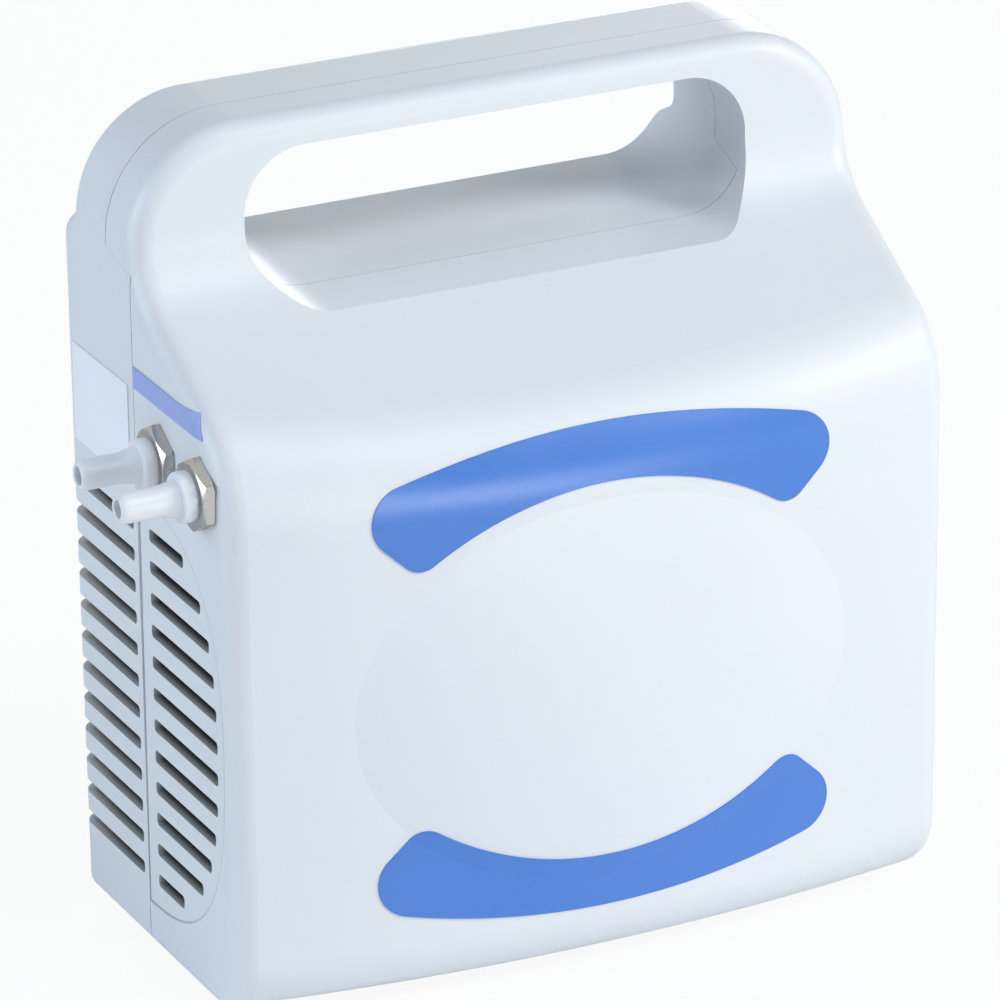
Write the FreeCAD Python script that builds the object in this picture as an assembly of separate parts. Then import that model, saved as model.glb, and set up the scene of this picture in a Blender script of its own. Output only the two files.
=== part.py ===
"""Portable dry piston vacuum pump in a two-shell moulded housing with a loop handle.

Lengths are in millimetres and angles in degrees.  X points to the right of the front face,
Y points to the rear and Z points up.  The housing is drawn about its parting plane, with the
underside of the shells at z = 0, and every piece is moved to the part's own origin on export.
"""
import FreeCAD, Part
import math
import os

V = FreeCAD.Vector
X_AXIS = V(1, 0, 0)
Y_AXIS = V(0, 1, 0)
Z_AXIS = V(0, 0, 1)
FAR = 400.0

# Housing shells
BASE_HALF_WIDTH = 102.0
TOP_HALF_WIDTH = 102.8
HOUSING_HEIGHT = 222.6
FRONT_REACH = 64.9
FRONT_BOW = 9.5
FRONT_ROLL = 16.5
REAR_REACH = 46.5
REAR_BASE_REACH = 45.0
WALL = 2.5
SEAM_GAP = 0.3
HANDLE_FRONT_REACH = 1.7
HANDLE_REAR_REACH = 39.0
SHOULDER_FOOT_Z = 184.2
SHOULDER_ANGLE = 29.0
SHOULDER_ROUND = 30.0
SHOULDER_HOLLOW = 20.0
STEP_Z = 188.0
STEP_RISE = 4.0
STEP_ROUND = 5.5
STEP_HOLLOW = 3.0
TOP_CORNER = 31.0
BODY_EDGE_ROUND = 7.0
HANDLE_EDGE_ROUND = 5.8
REAR_EDGE_ROUND = 6.5
BOTTOM_ROUND = 4.0

# Loop handle opening
OPENING_HALF_WIDTH = 71.5
OPENING_FLOOR_Z = 176.0
OPENING_FLOOR_RISE = 2.2
BAR_THICKNESS = 8.1
OPENING_CORNER = 17.0
OPENING_RIM_ROUND = 1.0

# Parting line
HANDLE_SEAM_Y = 15.0
JOG_LOW_Z = 186.3
JOG_HIGH_Z = 190.3
TONGUE_DEPTH = 2.0
TONGUE_THICKNESS = 1.0
TONGUE_CLEARANCE = 0.15

# Shallow dome on the front
DOME_HALF_WIDTH = 71.0
DOME_HALF_HEIGHT = 52.0
DOME_RISE = 3.7
DOME_Z = 78.5

# Louvres on both side walls
LOUVRE_COUNT = 12
LOUVRE_PITCH = 8.82
LOUVRE_HEIGHT = 3.6
LOUVRE_BOTTOM_Z = 19.2
LOUVRE_DEPTH = 7.0
LOUVRE_END_ROUND = 1.2
FRONT_LOUVRE_START = 5.5
REAR_LOUVRE_START = 2.8
REAR_LOUVRE_WRAP = 12.0
PANEL_REACH = 50.5
PANEL_LOWER_HEIGHT = 60.0
PANEL_UPPER_HEIGHT = 55.0
PANEL_Z = 73.0
PANEL_POWER = 2.6
PANEL_RECESS = 0.5
PANEL_MARGIN = 4.7

# Films stuck on the shells
FILM = 0.3
FILM_GAP = 0.05
UPPER_LABEL_Z = 135.1
LOWER_LABEL_Z = 31.9
LABEL_HALF_LENGTH = 74.0
LABEL_TIP_HALF_LENGTH = 52.5
LABEL_OUTER_RISE = 14.3
LABEL_INNER_RISE = 0.0
LABEL_CORNER_RISE = 2.5
LABEL_TIP_DROP = 17.6
LABEL_CORNER_ROUND = 9.5
LABEL_TIP_ROUND = 6.0
STRIPE_Z = 156.6
STRIPE_HEIGHT = 5.7
STRIPE_FRONT_REACH = 49.6
PLATE_Z = 129.1
PLATE_HEIGHT = 26.8
PLATE_START = 3.5
PLATE_LENGTH = 35.5

# Shell screws
SCREW_R = 1.9
SCREW_CLEAR = 0.05
SCREW_PASS_R = 2.2
SCREW_HEAD_R = 3.5
SCREW_HEAD_HEIGHT = 2.4
HEAD_WELL_R = 3.9
WELL_SEAT = 9.0
BOSS_R = 4.5
BOSS_LENGTH = 24.0
SCREW_BITE = 14.0
FLOOR_BOSS_X = 88.0
SIDE_BOSS_Z = 166.0
HANDLE_BOSS_SHARE = 0.359

# Feet
FOOT_STANDOFF = 2.5
FOOT_RECESS = 1.0
FOOT_R = 6.0
FOOT_X = 80.0
FOOT_FRONT_Y = -32.0
FOOT_REAR_Y = 28.0
FOOT_SCREW_R = 1.5
FOOT_BOSS_HEIGHT = 4.5

# Tube fittings on the left wall
BARB_FRONT_Y = -41.5
BARB_REAR_Y = -16.5
BARB_Z = 142.4
BARB_R = 4.0
BARB_TIP_R = 3.2
BARB_BORE_R = 2.4
BARB_LENGTH = 19.6
BARB_STRAIGHT = 12.0
BARB_COLLAR_R = 6.6
BARB_COLLAR = 2.0
NUT_ACROSS_FLATS = 17.3
NUT_THICKNESS = 3.3
THREAD_R = 5.6
FITTING_CLEAR = 0.15
FITTING_FLANGE_R = 6.8
FITTING_FLANGE = 3.0
TAIL_LENGTH = 11.0
TAIL_R = 3.4

# Mains inlet and rocker switch on the rear wall
INLET_OFFSET = 0.25
INLET_Z = 28.0
INLET_WIDTH = 27.0
INLET_HEIGHT = 20.0
INLET_DEPTH = 20.0
PANEL_LIP = 2.0
PANEL_LIP_THICKNESS = 1.6
SWITCH_Z = 66.0
SWITCH_WIDTH = 13.0
SWITCH_HEIGHT = 19.0
SWITCH_DEPTH = 15.0
ROCKER_TILT = 10.0
ROCKER_PROUD = 2.2

# Motor
SHAFT_Y = -12.0
SHAFT_Z = 56.0
SHAFT_R = 4.0
SHAFT_LEFT = -89.0
SHAFT_STICKOUT = 20.0
STACK_LEFT = -14.0
STACK_LENGTH = 58.0
STACK_SIDE = 80.0
STACK_CORNER = 8.0
ROTOR_R = 24.6
AIR_GAP = 0.4
ROTOR_RING = 5.0
SLOT_COUNT = 12
SLOT_WIDTH = 6.0
SLOT_INNER_R = 27.0
SLOT_OUTER_R = 35.0
WINDING_CLEAR = 0.25
WINDING_END = 9.0
BELL_SKIRT = 12.0
BELL_PLATE = 4.0
BELL_WALL = 3.0
TIE_BOLT_OFFSET = 34.0
TIE_BOLT_R = 2.0
BEARING_OUTER_R = 11.0
BEARING_WIDTH = 7.0
BALL_R = 1.75
BALL_COUNT = 8
RACE_WALL = 1.6
FIT = 0.03

# Pump end
CRANK_X = -54.0
CRANK_THROW = 3.0
CRANKCASE_LEFT = -76.0
CRANKCASE_HALF_WIDTH = 28.0
CRANKCASE_WALL = 4.0
CRANKCASE_PLATE = 6.0
CRANK_FLANGE_Z = 86.0
CRANK_FLANGE = 5.0
HEAD_SIDE = 60.0
HEAD_CORNER = 6.0
BORE_R = 23.0
SLEEVE_WALL = 3.0
SLEEVE_SEAT = 2.0
SLEEVE_LENGTH = 24.0
VALVE_PLATE = 4.0
GASKET = 0.6
HEAD_HEIGHT = 15.0
HEAD_WALL = 3.0
HEAD_SCREW_EDGE = 5.5
PORT_OFFSET = 11.0
JOURNAL_R = 7.5
JOURNAL_WIDTH = 8.0
ROD_BEARING_OUTER_R = 14.0
ROD_BEARING_WIDTH = 7.0
ROD_EYE_WALL = 4.0
COUNTERWEIGHT_R = 20.0
COUNTERWEIGHT = 6.0
PISTON_R = 18.6
PISTON_DISC = 4.0
SEAL_R = 19.4
SEAL = 1.0
SEAL_LIP = 3.0
RETAINER = 2.2
TOP_CLEARANCE = 3.4
REED = 0.4
REED_PLAY = 0.3
REED_LENGTH = 17.0
REED_WIDTH = 8.0
VALVE_HOLE_R = 2.6

# Mounting of the pump in the housing
BASE_PLATE = 2.5
BASE_PLATE_LEFT = -76.0
BASE_PLATE_REACH = 13.0
BASE_PLATE_HALF_WIDTH = 40.0
ISOLATOR_HEIGHT = 10.0
ISOLATOR_R = 7.0
ISOLATOR_LEFT_X = -66.0
ISOLATOR_REACH = 4.0
ISOLATOR_OFFSET = 32.0
ISOLATOR_BOSS = 2.5

# Fans
LEFT_FAN_R = 28.0
RIGHT_FAN_R = 33.0
FAN_WIDTH = 9.0
FAN_HUB_R = 9.0
FAN_BLADES = 7
FAN_BLADE = 1.6
FAN_PITCH = 38.0

# Run capacitor
CAPACITOR_R = 15.0
CAPACITOR_LENGTH = 56.0
CAPACITOR_X = 0.0
CAPACITOR_Z = 130.0
CLIP_THICKNESS = 1.2
CLIP_WIDTH = 16.0

# Sizes that follow from the ones above
OPENING_TOP_Z = HOUSING_HEIGHT - BAR_THICKNESS
HANDLE_BOSS_Z = JOG_HIGH_Z + HANDLE_BOSS_SHARE * (HOUSING_HEIGHT - WALL - JOG_HIGH_Z)
BOW_R = (BASE_HALF_WIDTH ** 2 + FRONT_BOW ** 2) / (2 * FRONT_BOW)
BASE_PLATE_Z = WALL + ISOLATOR_HEIGHT
PUMP_FLOOR_Z = BASE_PLATE_Z + BASE_PLATE
STACK_RIGHT = STACK_LEFT + STACK_LENGTH
BELL_RIGHT = STACK_RIGHT + BELL_SKIRT + BELL_PLATE
SHAFT_RIGHT = BELL_RIGHT + SHAFT_STICKOUT
BASE_PLATE_RIGHT = BELL_RIGHT + BASE_PLATE_REACH
ISOLATOR_RIGHT_X = BELL_RIGHT + ISOLATOR_REACH
INLET_X = (BELL_RIGHT + BASE_HALF_WIDTH - REAR_EDGE_ROUND) / 2 + INLET_OFFSET
HEAD_SCREW_OFFSET = HEAD_SIDE / 2 - HEAD_SCREW_EDGE
CASE_SKIRT_LEFT = STACK_LEFT - BELL_SKIRT
CASE_PLATE_LEFT = CASE_SKIRT_LEFT - CRANKCASE_PLATE
SLEEVE_Z = CRANK_FLANGE_Z + CRANK_FLANGE - SLEEVE_SEAT
VALVE_PLATE_Z = SLEEVE_Z + SLEEVE_LENGTH
GASKET_Z = VALVE_PLATE_Z + VALVE_PLATE
HEAD_Z = GASKET_Z + GASKET
HEAD_TOP_Z = HEAD_Z + HEAD_HEIGHT
PIN_Z = SHAFT_Z + CRANK_THROW
RETAINER_TOP_Z = VALVE_PLATE_Z - TOP_CLEARANCE
PISTON_TOP_Z = RETAINER_TOP_Z - RETAINER - SEAL


def wall_x(z):
    """Half width of the housing at a height."""
    return BASE_HALF_WIDTH + (TOP_HALF_WIDTH - BASE_HALF_WIDTH) * z / HOUSING_HEIGHT


def rear_y(z):
    """Reach of the rear wall at a height below the step."""
    return REAR_BASE_REACH + (REAR_REACH - REAR_BASE_REACH) * z / STEP_Z


FITTING_SEAT_X = wall_x(BARB_Z + 0.6 * NUT_ACROSS_FLATS) + 0.05
BARB_ROOT_X = FITTING_SEAT_X + NUT_THICKNESS
BARB_TIP_X = BARB_ROOT_X + BARB_LENGTH


def middle(edge):
    """Point halfway along an edge."""
    return edge.valueAt((edge.FirstParameter + edge.LastParameter) / 2)


def edges_where(shape, test):
    """Edges whose middle point passes a test."""
    return [edge for edge in shape.Edges if test(middle(edge))]


def rounded(shape, radius, test):
    """Shape with a constant fillet on the edges that pass a test."""
    return shape.makeFillet(radius, edges_where(shape, test))


def box(low, high):
    """Box between two corner points."""
    return Part.makeBox(high[0] - low[0], high[1] - low[1], high[2] - low[2], V(*low))


def rod_x(radius, left, right, y, z):
    """Cylinder along X."""
    return Part.makeCylinder(radius, right - left, V(left, y, z), X_AXIS)


def rod_y(radius, front, rear, x, z):
    """Cylinder along Y."""
    return Part.makeCylinder(radius, rear - front, V(x, front, z), Y_AXIS)


def rod_z(radius, low, high, x, y):
    """Cylinder along Z."""
    return Part.makeCylinder(radius, high - low, V(x, y, low), Z_AXIS)


def ring_x(outer, inner, left, right, y, z):
    """Tube along X."""
    return rod_x(outer, left, right, y, z).cut(rod_x(inner, left - 1, right + 1, y, z))


def ring_z(outer, inner, low, high, x, y):
    """Tube along Z."""
    return rod_z(outer, low, high, x, y).cut(rod_z(inner, low - 1, high + 1, x, y))


def turned(profile, origin, axis):
    """Solid turned from a closed profile of (along, radius) points about an axis."""
    side = Z_AXIS if abs(axis.z) < 0.5 else X_AXIS
    points = [origin + axis * along + side * radius for along, radius in profile]
    face = Part.Face(Part.makePolygon(points + [points[0]]))
    return face.revolve(origin, axis, 360)


def square_x(side, corner, left, right):
    """Square bar along X about the shaft, with rounded corners."""
    half = side / 2
    bar = box((left, SHAFT_Y - half, SHAFT_Z - half), (right, SHAFT_Y + half, SHAFT_Z + half))
    inside = half - 0.01
    return rounded(
        bar, corner, lambda m: abs(m.y - SHAFT_Y) > inside and abs(m.z - SHAFT_Z) > inside
    )


def pad_z(half_x, half_y, corner, low, high, x, y):
    """Upright rectangular block with rounded corners."""
    block = box((x - half_x, y - half_y, low), (x + half_x, y + half_y, high))
    near_x = half_x - 0.01
    near_y = half_y - 0.01
    return rounded(block, corner, lambda m: abs(m.x - x) > near_x and abs(m.y - y) > near_y)


def fused(shapes):
    """One solid from overlapping shapes."""
    first, rest = shapes[0], shapes[1:]
    return first.fuse(rest).removeSplitter() if rest else first


def group(shapes):
    """Separate solids kept together in one node."""
    return Part.makeCompound(shapes)


def about_shaft(shape, angle):
    """Shape turned about the shaft."""
    copy = shape.copy()
    copy.rotate(V(0, SHAFT_Y, SHAFT_Z), X_AXIS, angle)
    return copy


def mirrored_left_right(shape):
    """Shape mirrored to the other side wall."""
    return shape.mirror(V(0, 0, 0), X_AXIS)


def inset_outline(points, distance):
    """Corners of a counter-clockwise outline moved inwards by a distance."""
    lines = []
    for index, point in enumerate(points):
        start = V(point[0], point[1], 0)
        following = points[(index + 1) % len(points)]
        along = (V(following[0], following[1], 0) - start).normalize()
        lines.append((start + V(-along.y, along.x, 0) * distance, along))
    corners = []
    for index in range(len(lines)):
        p, d = lines[index - 1]
        q, e = lines[index]
        share = ((q.x - p.x) * e.y - (q.y - p.y) * e.x) / (d.x * e.y - d.y * e.x)
        corners.append((p.x + d.x * share, p.y + d.y * share))
    return corners


def side_outline(depth):
    """Side view of the housing as (y, z) corners, inset by a depth."""
    reach = FRONT_REACH + 20
    fall = math.tan(math.radians(SHOULDER_ANGLE)) * (reach - HANDLE_FRONT_REACH)
    return inset_outline(
        [
            (-reach, 0),
            (REAR_BASE_REACH, 0),
            (REAR_REACH, STEP_Z),
            (HANDLE_REAR_REACH, STEP_Z + STEP_RISE),
            (HANDLE_REAR_REACH, HOUSING_HEIGHT),
            (-HANDLE_FRONT_REACH, HOUSING_HEIGHT),
            (-HANDLE_FRONT_REACH, SHOULDER_FOOT_Z),
            (-reach, SHOULDER_FOOT_Z - fall),
        ],
        depth,
    )


def front_outline(depth):
    """Front view of the housing as (x, z) corners, inset by a depth."""
    return inset_outline(
        [
            (-BASE_HALF_WIDTH, 0),
            (BASE_HALF_WIDTH, 0),
            (TOP_HALF_WIDTH, HOUSING_HEIGHT),
            (-TOP_HALF_WIDTH, HOUSING_HEIGHT),
        ],
        depth,
    )


def bow_drum(depth):
    """Large upright drum whose front is the bowed front face with its rolled lower edge."""
    radius = BOW_R - depth
    drum = Part.makeCylinder(radius, FAR, V(0, -FRONT_REACH + BOW_R, depth), Z_AXIS)
    return rounded(drum, FRONT_ROLL - depth, lambda m: m.z < depth + 0.1)


def edges_rolled(shape, radius_at):
    """Shape with fillets whose radius is given by a function of an edge's middle and end."""
    document = FreeCAD.newDocument()
    base = document.addObject("Part::Feature", "base")
    base.Shape = shape
    fillet = document.addObject("Part::Fillet", "fillet")
    fillet.Base = base
    chain = []
    for index, edge in enumerate(shape.Edges):
        centre = middle(edge)
        first = radius_at(centre, edge.valueAt(edge.FirstParameter))
        last = radius_at(centre, edge.valueAt(edge.LastParameter))
        if first:
            chain.append((index + 1, first, last))
    fillet.Edges = chain
    document.recompute()
    result = fillet.Shape.copy()
    FreeCAD.closeDocument(document.Name)
    return result


def housing_form(depth):
    """Rounded outer form of the closed housing, inset by a depth."""
    side = side_outline(depth)
    front = front_outline(depth)
    side_points = [V(-FAR / 2, y, z) for y, z in side]
    front_points = [V(x, -FAR / 2, z) for x, z in front]
    side_block = Part.Face(Part.makePolygon(side_points + [side_points[0]])).extrude(X_AXIS * FAR)
    front_block = Part.Face(Part.makePolygon(front_points + [front_points[0]])).extrude(Y_AXIS * FAR)
    form = side_block.common(front_block).common(bow_drum(depth))
    top = HOUSING_HEIGHT - depth
    half = BASE_HALF_WIDTH - depth
    corner = min(TOP_CORNER, HOUSING_HEIGHT - STEP_Z - STEP_RISE / 2)
    form = rounded(form, corner - depth, lambda m: m.z > top - 0.1 and abs(m.x) > half - 5)
    form = rounded(
        form,
        SHOULDER_ROUND - depth,
        lambda m: abs(m.x) < 1 and m.z > HOUSING_HEIGHT / 2 and m.y < -FRONT_REACH + WALL + 2,
    )
    corners = (
        (side[6], SHOULDER_HOLLOW + depth),
        (side[3], STEP_HOLLOW + depth),
        (side[2], STEP_ROUND - depth),
    )
    for (y, z), radius in corners:
        form = rounded(form, radius, lambda m: abs(m.y - y) < 0.3 and abs(m.z - z) < 0.3)
    low_z = SHOULDER_FOOT_Z - (FRONT_REACH - HANDLE_FRONT_REACH) / 2
    high_z = SHOULDER_FOOT_Z - SHOULDER_HOLLOW / 2
    front_y = -HANDLE_FRONT_REACH + depth + 0.1
    rear_y_limit = HANDLE_REAR_REACH - depth - 0.1

    def radius_at(centre, end):
        if centre.z < depth + 0.1 and (abs(centre.x) > 1 or centre.y > 0):
            return BOTTOM_ROUND - depth
        if abs(centre.x) < 1:
            return None
        if centre.z < FRONT_ROLL and centre.y < 0:
            share = min(max((end.z - depth) / (FRONT_ROLL - depth), 0), 1)
            return BOTTOM_ROUND + (BODY_EDGE_ROUND - BOTTOM_ROUND) * share - depth
        if centre.y < front_y:
            share = min(max((end.z - low_z) / (high_z - low_z), 0), 1)
            return BODY_EDGE_ROUND + (HANDLE_EDGE_ROUND - BODY_EDGE_ROUND) * share - depth
        if centre.y > rear_y_limit:
            return REAR_EDGE_ROUND - depth
        return None

    return edges_rolled(form, radius_at)


def front_dome(depth):
    """Shallow dome on the front face, turned about an upright axis, inset by a depth."""
    across = 1 / (1 / BOW_R + 2 * DOME_RISE / DOME_HALF_WIDTH ** 2)
    peak = -FRONT_REACH - DOME_RISE + depth
    root = -FRONT_REACH + depth
    behind = root + 1.5 * WALL if depth > 0 else -FRONT_REACH + WALL / 2
    tall = (DOME_HALF_HEIGHT ** 2 + DOME_RISE ** 2) / (2 * DOME_RISE)
    reach = DOME_HALF_HEIGHT + 1.5
    end = peak + tall - math.sqrt(tall ** 2 - reach ** 2)
    low = V(0, end, DOME_Z - reach)
    high = V(0, end, DOME_Z + reach)
    arc = Part.Arc(low, V(0, peak, DOME_Z), high).toShape()
    back = Part.makePolygon([high, V(0, behind, high.z), V(0, behind, low.z), low])
    face = Part.Face(Part.Wire([arc] + back.Edges))
    axis = V(0, -FRONT_REACH - DOME_RISE + across, 0)
    sweep = math.degrees(math.asin(DOME_HALF_WIDTH / across)) + 1.0
    face.rotate(axis, Z_AXIS, -sweep)
    return face.revolve(axis, Z_AXIS, 2 * sweep)


def opening_prism(margin):
    """Long block through the handle opening, grown by a margin all round."""
    half = OPENING_HALF_WIDTH + margin
    low = OPENING_FLOOR_Z - margin
    high = OPENING_TOP_Z + margin
    reach = HANDLE_REAR_REACH + 20
    rise = OPENING_FLOOR_RISE * reach / (HANDLE_REAR_REACH + HANDLE_FRONT_REACH)
    corners = [(-reach, low - rise), (reach, low + rise), (reach, high), (-reach, high)]
    points = [V(-half, y, z) for y, z in corners]
    block = Part.Face(Part.makePolygon(points + [points[0]])).extrude(X_AXIS * 2 * half)
    corner = min(OPENING_CORNER, 0.49 * (OPENING_TOP_Z - OPENING_FLOOR_Z - rise))
    return rounded(block, corner + margin, lambda m: abs(m.y) < 1)


def seam_region(gap):
    """Everything in front of the parting surface, which jogs back under the handle."""
    corners = [
        (-FAR / 2, -FAR / 4),
        (gap, -FAR / 4),
        (gap, JOG_LOW_Z),
        (HANDLE_SEAM_Y + gap, JOG_HIGH_Z),
        (HANDLE_SEAM_Y + gap, FAR),
        (-FAR / 2, FAR),
    ]
    points = [V(-FAR / 2, y, z) for y, z in corners]
    return Part.Face(Part.makePolygon(points + [points[0]])).extrude(X_AXIS * FAR)


def louvre_levels():
    """Lower edge of each louvre slot."""
    return [LOUVRE_BOTTOM_Z + LOUVRE_PITCH * index for index in range(LOUVRE_COUNT)]


def panel_reach(z, margin):
    """How far forward the louvre panel reaches at a height, inside a margin."""
    height = PANEL_UPPER_HEIGHT if z > PANEL_Z else PANEL_LOWER_HEIGHT
    share = abs(z - PANEL_Z) / (height - margin)
    if share >= 1:
        return 0.0
    return (PANEL_REACH - margin) * (1 - share ** PANEL_POWER) ** (1 / PANEL_POWER)


def louvre_panel():
    """Shallow recess around the front louvres of the left wall."""
    steps = 24
    points = []
    for index in range(steps + 1):
        angle = math.pi * index / steps
        share = math.sin(angle) ** (2 / PANEL_POWER)
        level = math.copysign(abs(math.cos(angle)) ** (2 / PANEL_POWER), math.cos(angle))
        height = PANEL_UPPER_HEIGHT if level > 0 else PANEL_LOWER_HEIGHT
        points.append(V(-FAR / 2, -PANEL_REACH * share, PANEL_Z + height * level))
    curve = Part.BSplineCurve()
    curve.interpolate(points)
    chord = Part.makeLine(points[-1], points[0])
    face = Part.Face(Part.Wire([curve.toShape(), chord]))
    depth = FAR / 2 - wall_x(PANEL_Z) + PANEL_RECESS
    return face.extrude(X_AXIS * depth)


def slot_block(front, rear, low, inner):
    """One louvre slot cut into the left wall."""
    slot = box((-BASE_HALF_WIDTH - 5, front, low), (-inner, rear, low + LOUVRE_HEIGHT))
    return rounded(
        slot,
        LOUVRE_END_ROUND,
        lambda m: abs(m.x + (BASE_HALF_WIDTH + 5 + inner) / 2) < 0.1,
    )


def front_louvres():
    """Slots of the front shell's left wall, ending on the panel's curve."""
    inner = BASE_HALF_WIDTH - LOUVRE_DEPTH - 1
    slots = []
    for low in louvre_levels():
        reach = panel_reach(low + LOUVRE_HEIGHT / 2, PANEL_MARGIN)
        if reach > FRONT_LOUVRE_START + LOUVRE_HEIGHT:
            slots.append(slot_block(-reach, -FRONT_LOUVRE_START, low, inner))
    return slots


def rear_louvres():
    """Slots of the rear shell's left wall, wrapped round the rear corner."""
    inner = BASE_HALF_WIDTH - LOUVRE_DEPTH - 1
    wrap = BASE_HALF_WIDTH - REAR_LOUVRE_WRAP
    slots = []
    for low in louvre_levels():
        slots.append(slot_block(REAR_LOUVRE_START, REAR_REACH + 5, low, inner))
        slots.append(slot_block(REAR_BASE_REACH - WALL - 1, REAR_REACH + 5, low, wrap))
    return slots


def louvre_backing():
    """Thickened zone inside the left wall that gives the louvres their depth."""
    inner = BASE_HALF_WIDTH - LOUVRE_DEPTH
    low = LOUVRE_BOTTOM_Z - PANEL_MARGIN
    high = LOUVRE_BOTTOM_Z + LOUVRE_PITCH * LOUVRE_COUNT
    return box((-FAR, -PANEL_REACH, low), (-inner, FAR, high))


def side_walls(shapes):
    """Shapes of the left wall with their mirror images on the right wall."""
    return shapes + [mirrored_left_right(shape) for shape in shapes]


def screw_places():
    """Axis (x, z) and seam depth y of each shell screw."""
    side_x = wall_x(SIDE_BOSS_Z) - WALL - BOSS_R + 0.5
    handle_x = (OPENING_HALF_WIDTH + wall_x(HANDLE_BOSS_Z)) / 2
    floor_z = WALL + BOSS_R - 0.5
    places = []
    for sign in (-1, 1):
        places.append((sign * FLOOR_BOSS_X, floor_z, 0.0))
        places.append((sign * side_x, SIDE_BOSS_Z, 0.0))
        places.append((sign * handle_x, HANDLE_BOSS_Z, HANDLE_SEAM_Y))
    return places


def foot_places():
    """Centre (x, y) of each foot."""
    return [(x, y) for x in (-FOOT_X, FOOT_X) for y in (FOOT_FRONT_Y, FOOT_REAR_Y)]


def isolator_places():
    """Centre (x, y) of each rubber isolator."""
    offsets = (-ISOLATOR_OFFSET, ISOLATOR_OFFSET)
    return [(x, SHAFT_Y + dy) for x in (ISOLATOR_LEFT_X, ISOLATOR_RIGHT_X) for dy in offsets]


def closed_housing():
    """Outer form and inner core of the closed housing."""
    outer = housing_form(0.0).fuse(front_dome(0.0)).cut(opening_prism(0.0))
    core = housing_form(WALL).fuse(front_dome(WALL)).cut(opening_prism(WALL))
    return outer, core.cut(fused_pair(side_walls([louvre_backing()])))


def fused_pair(shapes):
    """Two shapes that do not touch, as one tool."""
    return Part.makeCompound(shapes)


def tongues(outer, inner, end, margin):
    """Strips between two depths in both side walls and the floor, up to a reach behind the seam."""
    low_z = 3 * BOTTOM_ROUND - margin
    high_z = SIDE_BOSS_Z - 2 * BOSS_R + margin
    strips = []
    for sign in (-1, 1):
        points = []
        for z, depth in ((low_z, inner), (high_z, inner), (high_z, outer), (low_z, outer)):
            points.append(V(sign * (wall_x(z) - depth), -2 * WALL, z))
        face = Part.Face(Part.makePolygon(points + [points[0]]))
        strips.append(face.extrude(Y_AXIS * (end + 2 * WALL)))
    half = FLOOR_BOSS_X - 2 * BOSS_R + margin
    strips.append(box((-half, -2 * WALL, outer), (half, end, inner)))
    return strips


def shell_holes():
    """Screw, foot, fitting and panel holes of both shells."""
    holes = []
    for x, y in foot_places():
        holes.append(rod_z(FOOT_R + FITTING_CLEAR, -1, FOOT_RECESS, x, y))
        holes.append(rod_z(FOOT_SCREW_R + SCREW_CLEAR, -1, WALL + FOOT_BOSS_HEIGHT - 1, x, y))
    for y in (BARB_FRONT_Y, BARB_REAR_Y):
        holes.append(rod_x(THREAD_R + FITTING_CLEAR, -FAR / 2, -BASE_HALF_WIDTH + 3 * WALL, y, BARB_Z))
    return holes


def panel_cutouts():
    """Rectangular holes of the mains inlet and the switch in the rear wall."""
    cutouts = []
    sizes = ((INLET_Z, INLET_WIDTH, INLET_HEIGHT), (SWITCH_Z, SWITCH_WIDTH, SWITCH_HEIGHT))
    for z, width, height in sizes:
        half_x = width / 2 + FITTING_CLEAR
        half_z = height / 2 + FITTING_CLEAR
        low = (INLET_X - half_x, REAR_BASE_REACH - 2 * WALL, z - half_z)
        cutouts.append(box(low, (INLET_X + half_x, REAR_REACH + 5, z + half_z)))
    return cutouts


def front_shell(outer, core):
    """Front moulding with its louvres, screw bosses and locating tongue."""
    region = seam_region(0.0)
    outer_half = outer.common(region)
    shell = outer_half.cut(core)
    bosses = []
    pilots = []
    for x, z, seam in screw_places():
        bosses.append(rod_y(BOSS_R, seam - BOSS_LENGTH, seam, x, z))
        pilots.append(rod_y(SCREW_R + SCREW_CLEAR, seam - SCREW_BITE - 2, seam + 1, x, z))
    for x, y in foot_places():
        if y < 0:
            bosses.append(rod_z(BOSS_R, 0, WALL + FOOT_BOSS_HEIGHT, x, y))
    for x, y in isolator_places():
        if y < 0:
            bosses.append(rod_z(ISOLATOR_R + 0.8, 1.0, WALL + ISOLATOR_BOSS, x, y))
    shell = shell.fuse([boss.common(outer_half) for boss in bosses])
    inner = WALL - 0.1
    shell = shell.fuse(tongues(inner - TONGUE_THICKNESS, inner, TONGUE_DEPTH, 0.0))
    cutters = side_walls([louvre_panel()] + front_louvres()) + pilots + shell_holes()
    return shell.cut(cutters).removeSplitter()


def rear_shell(outer, core):
    """Rear moulding with its louvres, screw wells and panel cut-outs."""
    outer_half = outer.cut(seam_region(SEAM_GAP))
    shell = outer_half.cut(core)
    bosses = []
    cutters = side_walls(rear_louvres()) + panel_cutouts() + shell_holes()
    for x, z, seam in screw_places():
        bosses.append(rod_y(BOSS_R + 0.8, seam + SEAM_GAP, REAR_REACH, x, z))
        cutters.append(rod_y(SCREW_PASS_R, seam - 1, FAR / 4, x, z))
        cutters.append(rod_y(HEAD_WELL_R, seam + WELL_SEAT, FAR / 4, x, z))
    for x, y in foot_places():
        if y > 0:
            bosses.append(rod_z(BOSS_R, 0, WALL + FOOT_BOSS_HEIGHT, x, y))
    for x, y in isolator_places():
        if y > 0:
            bosses.append(rod_z(ISOLATOR_R + 0.8, 1.0, WALL + ISOLATOR_BOSS, x, y))
    shell = shell.fuse([boss.common(outer_half) for boss in bosses])
    outer_depth = WALL - 0.1 - TONGUE_THICKNESS - TONGUE_CLEARANCE
    end = TONGUE_DEPTH + TONGUE_CLEARANCE
    cutters += tongues(outer_depth, WALL + 0.5, end, TONGUE_CLEARANCE)
    return shell.cut(cutters).removeSplitter()


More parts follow.
